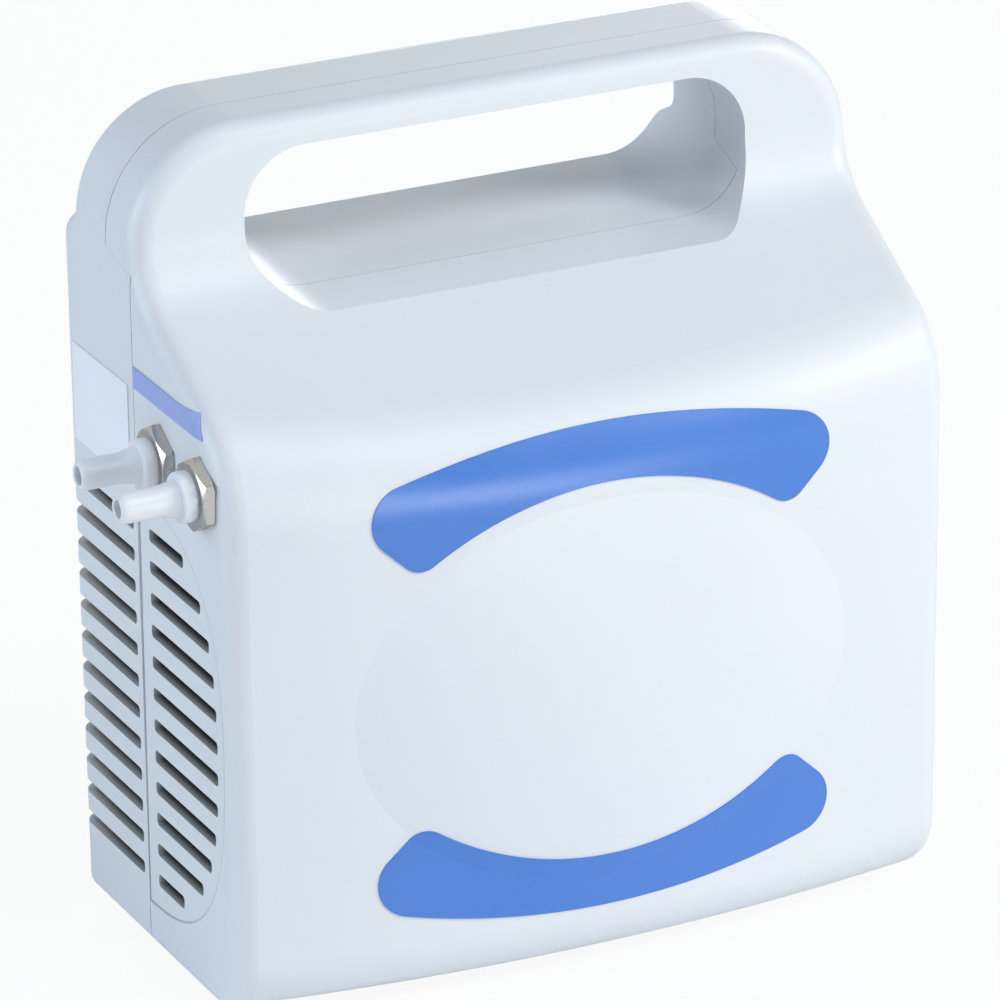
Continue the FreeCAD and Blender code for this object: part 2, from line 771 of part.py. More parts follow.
def cap_screw_y(seat, tip, x, z):
    """Pan-head screw along Y whose head lies behind its seat."""
    head = rod_y(SCREW_HEAD_R, seat, seat + SCREW_HEAD_HEIGHT, x, z)
    head = head.makeFillet(1.0, edges_where(head, lambda m: m.y > seat + SCREW_HEAD_HEIGHT - 0.1))
    recess = box(
        (x - 0.5, seat + SCREW_HEAD_HEIGHT - 1.2, z - 2.2),
        (x + 0.5, seat + SCREW_HEAD_HEIGHT + 1, z + 2.2),
    )
    cross = recess.copy()
    cross.rotate(V(x, seat, z), Y_AXIS, 90)
    return fused([rod_y(SCREW_R, tip, seat + 0.5, x, z), head]).cut([recess, cross])


def shell_screws():
    """Screws that hold the two shells together."""
    screws = []
    for x, z, seam in screw_places():
        screws.append(cap_screw_y(seam + WELL_SEAT, seam - SCREW_BITE, x, z))
    return group(screws)


def rubber_feet():
    """Four rubber feet set in recesses of the underside."""
    feet = []
    for x, y in foot_places():
        profile = [
            (-FOOT_STANDOFF, 2.6),
            (-FOOT_STANDOFF, FOOT_R - 0.8),
            (-FOOT_STANDOFF + 0.8, FOOT_R),
            (FOOT_RECESS, FOOT_R),
            (FOOT_RECESS, FOOT_SCREW_R + 0.1),
            (-0.4, FOOT_SCREW_R + 0.1),
            (-0.4, 2.6),
        ]
        feet.append(turned(profile, V(x, y, 0), Z_AXIS))
    return group(feet)


def foot_screws():
    """Screws up through the rubber feet."""
    screws = []
    for x, y in foot_places():
        head = rod_z(2.5, -1.8, -0.4, x, y)
        screws.append(fused([head, rod_z(FOOT_SCREW_R, -0.5, WALL + FOOT_BOSS_HEIGHT - 2, x, y)]))
    return group(screws)


def label_prism(level, upright):
    """Long block behind a banana-shaped label; upright is 1 for the upper one, -1 below."""
    def place(x, rise):
        return V(x, -FAR / 2, level + upright * rise)

    outer = Part.Arc(
        place(-LABEL_HALF_LENGTH, LABEL_CORNER_RISE),
        place(0, LABEL_OUTER_RISE),
        place(LABEL_HALF_LENGTH, LABEL_CORNER_RISE),
    ).toShape()
    inner = Part.Arc(
        place(LABEL_TIP_HALF_LENGTH, -LABEL_TIP_DROP),
        place(0, LABEL_INNER_RISE),
        place(-LABEL_TIP_HALF_LENGTH, -LABEL_TIP_DROP),
    ).toShape()
    ends = [
        Part.makeLine(
            place(sign * LABEL_HALF_LENGTH, LABEL_CORNER_RISE),
            place(sign * LABEL_TIP_HALF_LENGTH, -LABEL_TIP_DROP),
        )
        for sign in (1, -1)
    ]
    face = Part.Face(Part.Wire([outer, ends[0], inner, ends[1]]))
    block = face.extrude(Y_AXIS * FAR / 2)
    block = rounded(
        block,
        LABEL_CORNER_ROUND,
        lambda m: abs(m.y + FAR / 4) < 1 and abs(m.x) > LABEL_HALF_LENGTH - 0.1,
    )
    return rounded(
        block,
        LABEL_TIP_ROUND,
        lambda m: abs(m.y + FAR / 4) < 1 and abs(abs(m.x) - LABEL_TIP_HALF_LENGTH) < 0.1,
    )


def front_skin(lift):
    """Bowed front with its shoulder, and the dome on it, both lifted by a distance."""
    corners = [V(-FAR / 2, y, z) for y, z in side_outline(-lift)]
    block = Part.Face(Part.makePolygon(corners + [corners[0]])).extrude(X_AXIS * FAR)
    block = block.common(bow_drum(-lift))
    limit = -FRONT_REACH + WALL + 2
    block = rounded(
        block,
        SHOULDER_ROUND + lift,
        lambda m: abs(m.x) < 1 and m.z > HOUSING_HEIGHT / 2 and m.y < limit,
    )
    return [block, front_dome(-lift)]


def front_label(level, upright):
    """Thin printed film that follows the bowed front, the shoulder and the dome."""
    block = label_prism(level, upright)
    on_bow, on_dome = [block.common(skin) for skin in front_skin(FILM_GAP + FILM)]
    below = front_skin(FILM_GAP)
    return on_bow.cut(below).fuse(on_dome.cut(below)).removeSplitter()


def side_film(low, high):
    """Thin film on the left wall between two (y, z) corners."""
    lower = wall_x(low[1]) + FILM_GAP
    upper = wall_x(high[1]) + FILM_GAP
    points = [
        V(-lower, low[0], low[1]),
        V(-upper, low[0], high[1]),
        V(-upper - FILM, low[0], high[1]),
        V(-lower - FILM, low[0], low[1]),
    ]
    face = Part.Face(Part.makePolygon(points + [points[0]]))
    return face.extrude(Y_AXIS * (high[0] - low[0]))


def side_stripe():
    """Narrow coloured film on the front shell's left wall."""
    return side_film((-STRIPE_FRONT_REACH, STRIPE_Z), (-0.5, STRIPE_Z + STRIPE_HEIGHT))


def rating_plate():
    """Blank film on the rear shell's left wall."""
    return side_film((PLATE_START, PLATE_Z), (PLATE_START + PLATE_LENGTH, PLATE_Z + PLATE_HEIGHT))


def hose_barb(y):
    """Translucent barb that screws into its bulkhead fitting from outside."""
    root = BARB_ROOT_X
    cone = BARB_LENGTH - BARB_STRAIGHT
    profile = [
        (-6.0, BARB_BORE_R),
        (-6.0, 3.4),
        (0.0, 3.4),
        (0.0, BARB_COLLAR_R),
        (BARB_COLLAR, BARB_COLLAR_R),
        (BARB_COLLAR + 1.0, BARB_COLLAR_R - 1.2),
        (cone - 2.5, BARB_R + 0.5),
        (cone, BARB_R),
        (BARB_LENGTH - 2.2, BARB_R),
        (BARB_LENGTH - 0.6, BARB_TIP_R + 0.3),
        (BARB_LENGTH, BARB_TIP_R - 0.2),
        (BARB_LENGTH, BARB_BORE_R),
    ]
    return turned(profile, V(-root, y, BARB_Z), X_AXIS * -1)


def panel_nut(y):
    """Hexagonal nut against the outside of the left wall."""
    across_corners = NUT_ACROSS_FLATS / math.cos(math.radians(30))
    points = []
    for index in range(7):
        angle = math.radians(60 * index + 30)
        points.append(
            V(
                -FITTING_SEAT_X,
                y + across_corners / 2 * math.cos(angle),
                BARB_Z + across_corners / 2 * math.sin(angle),
            )
        )
    nut = Part.Face(Part.makePolygon(points)).extrude(X_AXIS * -NUT_THICKNESS)
    chamfer = 1.0
    profile = [
        (0, 0),
        (0, across_corners / 2 - chamfer / 2),
        (chamfer / 2, across_corners / 2 + 0.01),
        (NUT_THICKNESS - chamfer, across_corners / 2 + 0.01),
        (NUT_THICKNESS, NUT_ACROSS_FLATS / 2 - 0.2),
        (NUT_THICKNESS, 0),
    ]
    dish = turned(profile, V(-FITTING_SEAT_X, y, BARB_Z), X_AXIS * -1)
    bore = rod_x(THREAD_R + FIT, -FAR / 2, 0, y, BARB_Z)
    return nut.common(dish).cut(bore)


def bulkhead_fitting(y):
    """Metal bulkhead behind the nut, with a hose tail inside the housing."""
    seat = BASE_HALF_WIDTH - WALL - 0.1
    profile = [
        (0, TAIL_R - 1.2),
        (0, TAIL_R - 0.4),
        (3.0, TAIL_R + 0.5),
        (3.1, TAIL_R - 0.3),
        (6.0, TAIL_R + 0.5),
        (6.1, TAIL_R - 0.3),
        (TAIL_LENGTH, TAIL_R - 0.3),
        (TAIL_LENGTH, FITTING_FLANGE_R),
        (TAIL_LENGTH + FITTING_FLANGE, FITTING_FLANGE_R),
        (TAIL_LENGTH + FITTING_FLANGE, THREAD_R),
        (TAIL_LENGTH + FITTING_FLANGE + BARB_ROOT_X - seat - 0.2, THREAD_R),
        (TAIL_LENGTH + FITTING_FLANGE + BARB_ROOT_X - seat - 0.2, 3.4 + FIT),
        (TAIL_LENGTH + FITTING_FLANGE + BARB_ROOT_X - seat - 7.0, 3.4 + FIT),
        (TAIL_LENGTH + FITTING_FLANGE + BARB_ROOT_X - seat - 7.0, TAIL_R - 1.2),
    ]
    start = V(-seat + TAIL_LENGTH + FITTING_FLANGE, y, BARB_Z)
    return turned(profile, start, X_AXIS * -1)


def tube_sweep(points, outer, inner):
    """Tube along a path of straight runs joined by tangent arcs given as (start, middle, end)."""
    edges = []
    for piece in points:
        if len(piece) == 2:
            edges.append(Part.makeLine(piece[0], piece[1]))
        else:
            edges.append(Part.Arc(*piece).toShape())
    path = Part.Wire(edges)
    start = edges[0].valueAt(edges[0].FirstParameter)
    heading = edges[0].tangentAt(edges[0].FirstParameter)
    solids = []
    for radius in (outer, inner):
        profile = Part.Wire([Part.makeCircle(radius, start, heading)])
        solids.append(path.makePipeShell([profile], True, False))
    return solids[0].cut(solids[1])


def port_places():
    """Tube height and the two ports of the head as (y of the port, y of its barb)."""
    return [(SHAFT_Y - PORT_OFFSET, BARB_FRONT_Y), (SHAFT_Y + PORT_OFFSET, BARB_REAR_Y)]


ELBOW_TAIL = 10.0
ELBOW_R = 4.2
HOSE_OUTER_R = 5.6
HOSE_OVERLAP = 5.5
HOSE_LEAD = 6.0


def port_elbow(port_y):
    """Elbow screwed into the top of the head, with its tail pointing left."""
    stem = rod_z(ELBOW_R, HEAD_TOP_Z + 0.05, BARB_Z, CRANK_X, port_y)
    collar = rod_z(ELBOW_R + 1.8, HEAD_TOP_Z + 0.05, HEAD_TOP_Z + 2.0, CRANK_X, port_y)
    knuckle = Part.makeSphere(ELBOW_R, V(CRANK_X, port_y, BARB_Z))
    tail = rod_x(TAIL_R, CRANK_X - ELBOW_TAIL, CRANK_X, port_y, BARB_Z)
    spigot = rod_z(3.0, HEAD_TOP_Z - HEAD_WALL, HEAD_TOP_Z + 1.0, CRANK_X, port_y)
    body = fused([stem, collar, knuckle, tail, spigot])
    bore_down = rod_z(1.8, HEAD_TOP_Z - HEAD_WALL - 1, BARB_Z, CRANK_X, port_y)
    bore_left = rod_x(1.8, CRANK_X - ELBOW_TAIL - 1, CRANK_X, port_y, BARB_Z)
    return body.cut([bore_down, bore_left])


def inner_hose(port_y, barb_y):
    """Soft hose in an S bend from the elbow's tail to the bulkhead's tail."""
    right = CRANK_X - ELBOW_TAIL + HOSE_OVERLAP
    left = -BASE_HALF_WIDTH + WALL + FITTING_FLANGE + TAIL_LENGTH - HOSE_OVERLAP + 0.1
    span = right - left
    offset = port_y - barb_y
    run = span - 2 * HOSE_LEAD
    radius = (run ** 2 + offset ** 2) / (4 * offset)
    half_angle = math.asin(run / 2 / radius)
    first = V(left + HOSE_LEAD, barb_y, BARB_Z)
    last = V(right - HOSE_LEAD, port_y, BARB_Z)
    centre = (first + last) * 0.5
    start_centre = first + Y_AXIS * radius
    end_centre = last - Y_AXIS * radius
    quarter = half_angle / 2
    start_mid = start_centre + V(math.sin(quarter), -math.cos(quarter), 0) * radius
    end_mid = end_centre + V(-math.sin(quarter), math.cos(quarter), 0) * radius
    path = [
        (V(left, barb_y, BARB_Z), first),
        (first, start_mid, centre),
        (centre, end_mid, last),
        (last, V(right, port_y, BARB_Z)),
    ]
    return tube_sweep(path, HOSE_OUTER_R, TAIL_R + 0.55)


def panel_frame(z, width, height, depth):
    """Snap-in body with a lip on the rear wall; the wall leans, so the lip stands on its top."""
    seat = rear_y(z + height / 2 + PANEL_LIP)
    body = box((INLET_X - width / 2, seat - depth, z - height / 2),
               (INLET_X + width / 2, seat + 0.5, z + height / 2))
    lip = box(
        (INLET_X - width / 2 - PANEL_LIP, seat, z - height / 2 - PANEL_LIP),
        (INLET_X + width / 2 + PANEL_LIP, seat + PANEL_LIP_THICKNESS, z + height / 2 + PANEL_LIP),
    )
    outer_y = seat + PANEL_LIP_THICKNESS
    lip = rounded(lip, 0.8, lambda m: m.y > outer_y - 0.01)
    return fused([body, lip]), seat


def mains_inlet():
    """Three-pin appliance inlet for a detachable lead."""
    frame, seat = panel_frame(INLET_Z, INLET_WIDTH, INLET_HEIGHT, INLET_DEPTH)
    half_x = INLET_WIDTH / 2 - 1.6
    half_z = INLET_HEIGHT / 2 - 1.6
    chamfer = 5.0
    outline = [
        (-half_x, -half_z),
        (half_x, -half_z),
        (half_x, half_z - chamfer),
        (half_x - chamfer, half_z),
        (-half_x + chamfer, half_z),
        (-half_x, half_z - chamfer),
    ]
    points = [V(INLET_X + x, seat - INLET_DEPTH + 3, INLET_Z + z) for x, z in outline]
    well = Part.Face(Part.makePolygon(points + [points[0]])).extrude(Y_AXIS * FAR / 10)
    socket = frame.cut(well)
    pins = []
    for x, z in ((-7.0, -1.5), (0.0, 2.5), (7.0, -1.5)):
        pins.append(
            box((INLET_X + x - 1, seat - INLET_DEPTH + 2, INLET_Z + z - 2),
                (INLET_X + x + 1, seat - 3, INLET_Z + z + 2))
        )
    blades = []
    for x, z in ((-7.0, -1.5), (0.0, 2.5), (7.0, -1.5)):
        blades.append(
            box((INLET_X + x - 0.4, seat - INLET_DEPTH - 6, INLET_Z + z - 2.4),
                (INLET_X + x + 0.4, seat - INLET_DEPTH + 2.5, INLET_Z + z + 2.4))
        )
    return fused([socket] + pins + blades)


def switch_bezel():
    """Frame of the rocker switch."""
    frame, seat = panel_frame(SWITCH_Z, SWITCH_WIDTH, SWITCH_HEIGHT, SWITCH_DEPTH)
    well = box(
        (INLET_X - SWITCH_WIDTH / 2 + 1.5, seat - 8.0, SWITCH_Z - SWITCH_HEIGHT / 2 + 1.5),
        (INLET_X + SWITCH_WIDTH / 2 - 1.5, seat + 5.0, SWITCH_Z + SWITCH_HEIGHT / 2 - 1.5),
    )
    blades = []
    for z in (-5.0, 5.0):
        blades.append(
            box((INLET_X - 2.4, seat - SWITCH_DEPTH - 5, SWITCH_Z + z - 0.4),
                (INLET_X + 2.4, seat - SWITCH_DEPTH + 0.5, SWITCH_Z + z + 0.4))
        )
    return fused([frame.cut(well)] + blades)


def rocker_axis():
    """Pivot point of the rocker."""
    seat = rear_y(SWITCH_Z + SWITCH_HEIGHT / 2 + PANEL_LIP)
    return V(INLET_X, seat - 2.0, SWITCH_Z)


def switch_rocker():
    """Rocker with a shallow V face, resting with its lower half pressed in."""
    pivot = rocker_axis()
    half_x = SWITCH_WIDTH / 2 - 1.5 - 0.3
    half_z = SWITCH_HEIGHT / 2 - 1.5 - 1.1
    proud = 2.0 + PANEL_LIP_THICKNESS + ROCKER_PROUD
    outline = [
        (0.0, proud - 1.4),
        (half_z, proud),
        (half_z - 0.6, -1.0),
        (2.0, -3.4),
        (-2.0, -3.4),
        (-half_z + 0.6, -1.0),
        (-half_z, proud),
    ]
    points = [V(INLET_X - half_x, pivot.y + out, pivot.z + up) for up, out in outline]
    block = Part.Face(Part.makePolygon(points + [points[0]])).extrude(X_AXIS * 2 * half_x)
    block.rotate(pivot, X_AXIS, ROCKER_TILT)
    return block


def motor_shaft():
    """Ground shaft that carries both fans, the rotor and the eccentric."""
    shaft = rod_x(SHAFT_R, SHAFT_LEFT, SHAFT_RIGHT, SHAFT_Y, SHAFT_Z)
    return shaft.makeChamfer(0.6, shaft.Edges[0:1] + shaft.Edges[2:3])


def rotor_core():
    """Laminated rotor with its shaft bore."""
    bore = SHAFT_R + FIT
    return ring_x(ROTOR_R, bore, STACK_LEFT + 1, STACK_RIGHT - 1, SHAFT_Y, SHAFT_Z)


def rotor_rings():
    """Cast end rings on both faces of the rotor."""
    rings = []
    for start in (STACK_LEFT + 1 - ROTOR_RING, STACK_RIGHT - 1):
        ring = ring_x(ROTOR_R - 0.6, ROTOR_R - 9, start, start + ROTOR_RING, SHAFT_Y, SHAFT_Z)
        rings.append(ring)
    return group(rings)


def stator_slots(margin, left, right):
    """Radial bars where the windings lie."""
    bars = []
    half = SLOT_WIDTH / 2 - margin
    low = SHAFT_Z + SLOT_INNER_R + margin
    high = SHAFT_Z + SLOT_OUTER_R - margin
    bar = box((left, SHAFT_Y - half, low), (right, SHAFT_Y + half, high))
    for index in range(SLOT_COUNT):
        bars.append(about_shaft(bar, 360 * (index + 0.5) / SLOT_COUNT))
    return bars


def tie_bolt_places():
    """Axis (y, z) of each tie bolt."""
    offsets = (-TIE_BOLT_OFFSET, TIE_BOLT_OFFSET)
    return [(SHAFT_Y + dy, SHAFT_Z + dz) for dy in offsets for dz in offsets]


def stator_core():
    """Square stator stack with winding slots and tie-bolt holes."""
    stack = square_x(STACK_SIDE, STACK_CORNER, STACK_LEFT, STACK_RIGHT)
    cutters = stator_slots(0.0, STACK_LEFT - 1, STACK_RIGHT + 1)
    cutters.append(rod_x(ROTOR_R + AIR_GAP, STACK_LEFT - 1, STACK_RIGHT + 1, SHAFT_Y, SHAFT_Z))
    for y, z in tie_bolt_places():
        cutters.append(rod_x(TIE_BOLT_R + SCREW_CLEAR, STACK_LEFT - 1, STACK_RIGHT + 1, y, z))
    return stack.cut(cutters)


def stator_windings():
    """Copper coils: bars through the slots joined by a rounded ring at each end."""
    inner = SLOT_INNER_R + WINDING_CLEAR
    outer = SLOT_OUTER_R + 1.2
    rings = []
    for left in (STACK_LEFT - WINDING_END - 0.3, STACK_RIGHT + 0.3):
        right = left + WINDING_END
        ring = ring_x(outer, inner, left, right, SHAFT_Y, SHAFT_Z)
        rings.append(rounded(ring, 2.5, lambda m: abs(m.x - left) < 0.1 or abs(m.x - right) < 0.1))
    bars = stator_slots(WINDING_CLEAR, STACK_LEFT - 2.0, STACK_RIGHT + 2.0)
    return rings[0].fuse(bars).fuse(rings[1])


def bearing_races(left, inner_r, outer_r, width, y, z, which):
    """Inner or outer race of a ball bearing along X."""
    if which == "outer":
        return ring_x(outer_r, outer_r - RACE_WALL, left, left + width, y, z)
    return ring_x(inner_r + RACE_WALL, inner_r, left, left + width, y, z)


def race_balls(left, inner_r, outer_r, width, y, z, count):
    """Balls between the races of a bearing."""
    gap_inner = inner_r + RACE_WALL
    gap_outer = outer_r - RACE_WALL
    pitch_r = (gap_inner + gap_outer) / 2
    ball_r = (gap_outer - gap_inner) / 2 - FIT
    balls = []
    for index in range(count):
        angle = 2 * math.pi * index / count
        centre = V(left + width / 2, y + pitch_r * math.cos(angle), z + pitch_r * math.sin(angle))
        balls.append(Part.makeSphere(ball_r, centre))
    return balls


def shaft_bearing_lefts():
    """Left faces of the two shaft bearings."""
    return (CASE_PLATE_LEFT - 1.0, BELL_RIGHT - BEARING_WIDTH)


def shaft_outer_races():
    """Outer races pressed into the crankcase and the end bell."""
    races = []
    for left in shaft_bearing_lefts():
        races.append(
            bearing_races(left, SHAFT_R + FIT, BEARING_OUTER_R, BEARING_WIDTH, SHAFT_Y, SHAFT_Z,
                          "outer")
        )
    return group(races)


def shaft_inner_races():
    """Inner races on the shaft."""
    races = []
    for left in shaft_bearing_lefts():
        races.append(
            bearing_races(left, SHAFT_R + FIT, BEARING_OUTER_R, BEARING_WIDTH, SHAFT_Y, SHAFT_Z,
                          "inner")
        )
    return group(races)


def shaft_bearing_balls():
    """Balls of both shaft bearings."""
    balls = []
    for left in shaft_bearing_lefts():
        balls += race_balls(left, SHAFT_R + FIT, BEARING_OUTER_R, BEARING_WIDTH, SHAFT_Y, SHAFT_Z,
                            BALL_COUNT)
    return group(balls)


def crankcase():
    """Cast crankcase with the cylinder flange, the bearing plate and the motor skirt."""
    half = CRANKCASE_HALF_WIDTH
    low = (CRANKCASE_LEFT, SHAFT_Y - half, PUMP_FLOOR_Z)
    high = (CASE_PLATE_LEFT + 1, SHAFT_Y + half, CRANK_FLANGE_Z + 1)
    case = rounded(box(low, high), 5.0, lambda m: abs(m.y - SHAFT_Y) > half - 0.1
                   and m.z > low[2] + 1 and m.z < high[2] - 1 and m.x < low[0] + 0.1)
    flange = pad_z(HEAD_SIDE / 2, HEAD_SIDE / 2, HEAD_CORNER, CRANK_FLANGE_Z,
                   CRANK_FLANGE_Z + CRANK_FLANGE, CRANK_X, SHAFT_Y)
    skirt = square_x(STACK_SIDE, STACK_CORNER, CASE_PLATE_LEFT, STACK_LEFT - 0.1)
    hollow = square_x(STACK_SIDE - 2 * BELL_WALL, STACK_CORNER - 2, CASE_SKIRT_LEFT, FAR)
    boss = rod_x(BEARING_OUTER_R + 3, CASE_PLATE_LEFT - 2.5, CASE_SKIRT_LEFT, SHAFT_Y, SHAFT_Z)
    ears = [
        rod_x(TIE_BOLT_R + 3.5, CASE_PLATE_LEFT, STACK_LEFT - 0.1, y, z)
        for y, z in tie_bolt_places()
    ]
    body = fused([case, flange, skirt])
    cavity = box(
        (CRANKCASE_LEFT + CRANKCASE_WALL, SHAFT_Y - half + CRANKCASE_WALL, PUMP_FLOOR_Z + 5),
        (CASE_PLATE_LEFT, SHAFT_Y + half - CRANKCASE_WALL, CRANK_FLANGE_Z),
    )
    body = body.cut([hollow, cavity])
    skirt_block = square_x(STACK_SIDE, STACK_CORNER, CASE_PLATE_LEFT, STACK_LEFT - 0.1)
    body = fused([body, boss] + [ear.common(skirt_block) for ear in ears])
    bearing_left = shaft_bearing_lefts()[0]
    cutters = [
        rod_x(COUNTERWEIGHT_R + 2, CRANKCASE_LEFT - 1, CRANKCASE_LEFT + CRANKCASE_WALL + 1,
              SHAFT_Y, SHAFT_Z),
        rod_z(BORE_R, CRANK_FLANGE_Z - 5, FAR, CRANK_X, SHAFT_Y),
        rod_z(BORE_R + SLEEVE_WALL + FIT, SLEEVE_Z, FAR, CRANK_X, SHAFT_Y),
        rod_x(BEARING_OUTER_R + FIT, bearing_left - 0.1, FAR, SHAFT_Y, SHAFT_Z),
        rod_x(BEARING_OUTER_R - 2.5, CASE_PLATE_LEFT - 5, FAR, SHAFT_Y, SHAFT_Z),
    ]
    for y, z in tie_bolt_places():
        cutters.append(rod_x(TIE_BOLT_R + SCREW_CLEAR, CASE_PLATE_LEFT - 1, STACK_LEFT, y, z))
    for x, y in head_screw_places():
        cutters.append(rod_z(SCREW_R + SCREW_CLEAR, CRANK_FLANGE_Z - 5, FAR, x, y))
    for x, y in base_screw_places()[:2]:
        cutters.append(rod_z(SCREW_R + SCREW_CLEAR, 0, PUMP_FLOOR_Z + 4, x, y))
    return body.cut(cutters).removeSplitter()


def end_bell():
    """Right end bell with its bearing seat, air windows and foot."""
    cup = square_x(STACK_SIDE, STACK_CORNER, STACK_RIGHT + 0.1, BELL_RIGHT)
    hollow = square_x(STACK_SIDE - 2 * BELL_WALL, STACK_CORNER - 2, 0, BELL_RIGHT - BELL_PLATE)
    boss = rod_x(BEARING_OUTER_R + 3, BELL_RIGHT - BEARING_WIDTH - 1.5, BELL_RIGHT, SHAFT_Y,
                 SHAFT_Z)
    ears = [
        rod_x(TIE_BOLT_R + 3.5, STACK_RIGHT + 0.1, BELL_RIGHT, y, z).common(cup)
        for y, z in tie_bolt_places()
    ]
    foot = box((STACK_RIGHT + 2, SHAFT_Y - 20, PUMP_FLOOR_Z),
               (BELL_RIGHT, SHAFT_Y + 20, SHAFT_Z - STACK_SIDE / 2 + 3))
    window = ring_x(STACK_SIDE / 2 - 9, BEARING_OUTER_R + 5, BELL_RIGHT - BELL_PLATE - 1,
                    BELL_RIGHT + 1, SHAFT_Y, SHAFT_Z)
    spoke = box((0, SHAFT_Y - 3, SHAFT_Z - FAR / 4), (FAR, SHAFT_Y + 3, SHAFT_Z + FAR / 4))
    spokes = [about_shaft(spoke, 60 * index) for index in range(3)]
    cutters = [
        window.cut(spokes),
        rod_x(BEARING_OUTER_R + FIT, BELL_RIGHT - BEARING_WIDTH - 0.1, FAR, SHAFT_Y, SHAFT_Z),
        rod_x(BEARING_OUTER_R - 2.5, 0, FAR, SHAFT_Y, SHAFT_Z),
    ]
    for y, z in tie_bolt_places():
        cutters.append(rod_x(TIE_BOLT_R + SCREW_CLEAR, 0, FAR, y, z))
    for x, y in base_screw_places()[2:]:
        cutters.append(rod_z(SCREW_R + SCREW_CLEAR, 0, PUMP_FLOOR_Z + 4, x, y))
    return fused([cup.cut(hollow), boss, foot] + ears).cut(cutters)


def tie_bolts():
    """Long bolts that clamp the end bell, the stator and the crankcase."""
    bolts = []
    for y, z in tie_bolt_places():
        shank = rod_x(TIE_BOLT_R, CASE_PLATE_LEFT, BELL_RIGHT + 0.5, y, z)
        head = rod_x(TIE_BOLT_R + 1.6, BELL_RIGHT + 0.05, BELL_RIGHT + 3.0, y, z)
        bolts.append(fused([shank, head]))
    return group(bolts)


def eccentric():
    """Eccentric journal with its counterweight, clamped on the shaft."""
    left = CRANK_X - JOURNAL_WIDTH / 2
    right = CRANK_X + JOURNAL_WIDTH / 2
    journal = rod_x(JOURNAL_R, left, right + 1, SHAFT_Y, PIN_Z)
    web_left = right + 0.5
    web = rod_x(COUNTERWEIGHT_R, web_left, web_left + COUNTERWEIGHT, SHAFT_Y, SHAFT_Z)
    upper = box((web_left - 1, SHAFT_Y - FAR / 4, SHAFT_Z),
                (web_left + COUNTERWEIGHT + 1, SHAFT_Y + FAR / 4, SHAFT_Z + FAR / 4))
    weight = web.cut(upper)
    hub = rod_x(JOURNAL_R + CRANK_THROW + 0.5, web_left, web_left + COUNTERWEIGHT, SHAFT_Y,
                SHAFT_Z)
    clamp = rod_x(JOURNAL_R + 1, web_left, web_left + COUNTERWEIGHT + 5, SHAFT_Y, SHAFT_Z)
    body = fused([journal, weight, hub, clamp])
    bore = rod_x(SHAFT_R + FIT, left - 1, web_left + COUNTERWEIGHT + 6, SHAFT_Y, SHAFT_Z)
    tap = rod_z(1.55, SHAFT_Z, SHAFT_Z + FAR / 4, web_left + COUNTERWEIGHT + 2.5, SHAFT_Y)
    return body.cut([bore, tap])


def set_screw():
    """Grub screw that locks the eccentric."""
    x = CRANK_X + JOURNAL_WIDTH / 2 + 0.5 + COUNTERWEIGHT + 2.5
    return rod_z(1.5, SHAFT_Z + SHAFT_R + 0.05, SHAFT_Z + JOURNAL_R + 1.2, x, SHAFT_Y)


def rod_race(which):
    """Inner or outer race of the big-end bearing."""
    return bearing_races(CRANK_X - ROD_BEARING_WIDTH / 2, JOURNAL_R + FIT, ROD_BEARING_OUTER_R,
                         ROD_BEARING_WIDTH, SHAFT_Y, PIN_Z, which)


def rod_balls():
    """Balls of the big-end bearing."""
    return group(
        race_balls(CRANK_X - ROD_BEARING_WIDTH / 2, JOURNAL_R + FIT, ROD_BEARING_OUTER_R,
                   ROD_BEARING_WIDTH, SHAFT_Y, PIN_Z, BALL_COUNT + 3)
    )


def connecting_rod():
    """Connecting rod and piston cast in one piece, as rocking pistons are."""
    eye_r = ROD_BEARING_OUTER_R + ROD_EYE_WALL
    half = ROD_BEARING_WIDTH / 2
    eye = rod_x(eye_r, CRANK_X - half, CRANK_X + half, SHAFT_Y, PIN_Z)
    disc_low = PISTON_TOP_Z - PISTON_DISC
    shank_points = [
        V(CRANK_X - half, SHAFT_Y - 9, PIN_Z + eye_r - 5),
        V(CRANK_X - half, SHAFT_Y + 9, PIN_Z + eye_r - 5),
        V(CRANK_X - half, SHAFT_Y + 6, disc_low + 1),
        V(CRANK_X - half, SHAFT_Y - 6, disc_low + 1),
    ]
    shank = Part.Face(Part.makePolygon(shank_points + [shank_points[0]]))
    shank = shank.extrude(X_AXIS * 2 * half)
    cone = Part.makeCone(6.0, PISTON_R - 3, 6.0, V(CRANK_X, SHAFT_Y, disc_low - 5.9), Z_AXIS)
    disc = rod_z(PISTON_R, disc_low, PISTON_TOP_Z, CRANK_X, SHAFT_Y)
    boss = rod_z(5.0, PISTON_TOP_Z - 1, PISTON_TOP_Z + SEAL, CRANK_X, SHAFT_Y)
    body = fused([eye, shank, cone, disc, boss])
    bearing_hole = rod_x(ROD_BEARING_OUTER_R + FIT, CRANK_X - half - 1, CRANK_X + half + 1,
                         SHAFT_Y, PIN_Z)
    screw_hole = rod_z(1.55, PISTON_TOP_Z - 8, FAR, CRANK_X, SHAFT_Y)
    return body.cut([bearing_hole, screw_hole])


def cup_seal():
    """Cup seal of filled PTFE with its upturned lip."""
    base = ring_z(SEAL_R - 1, 5.1, PISTON_TOP_Z + 0.02, PISTON_TOP_Z + SEAL, CRANK_X, SHAFT_Y)
    lip = ring_z(SEAL_R, SEAL_R - 1.0, PISTON_TOP_Z + 0.02, PISTON_TOP_Z + SEAL_LIP, CRANK_X,
                 SHAFT_Y)
    return fused([base, lip])


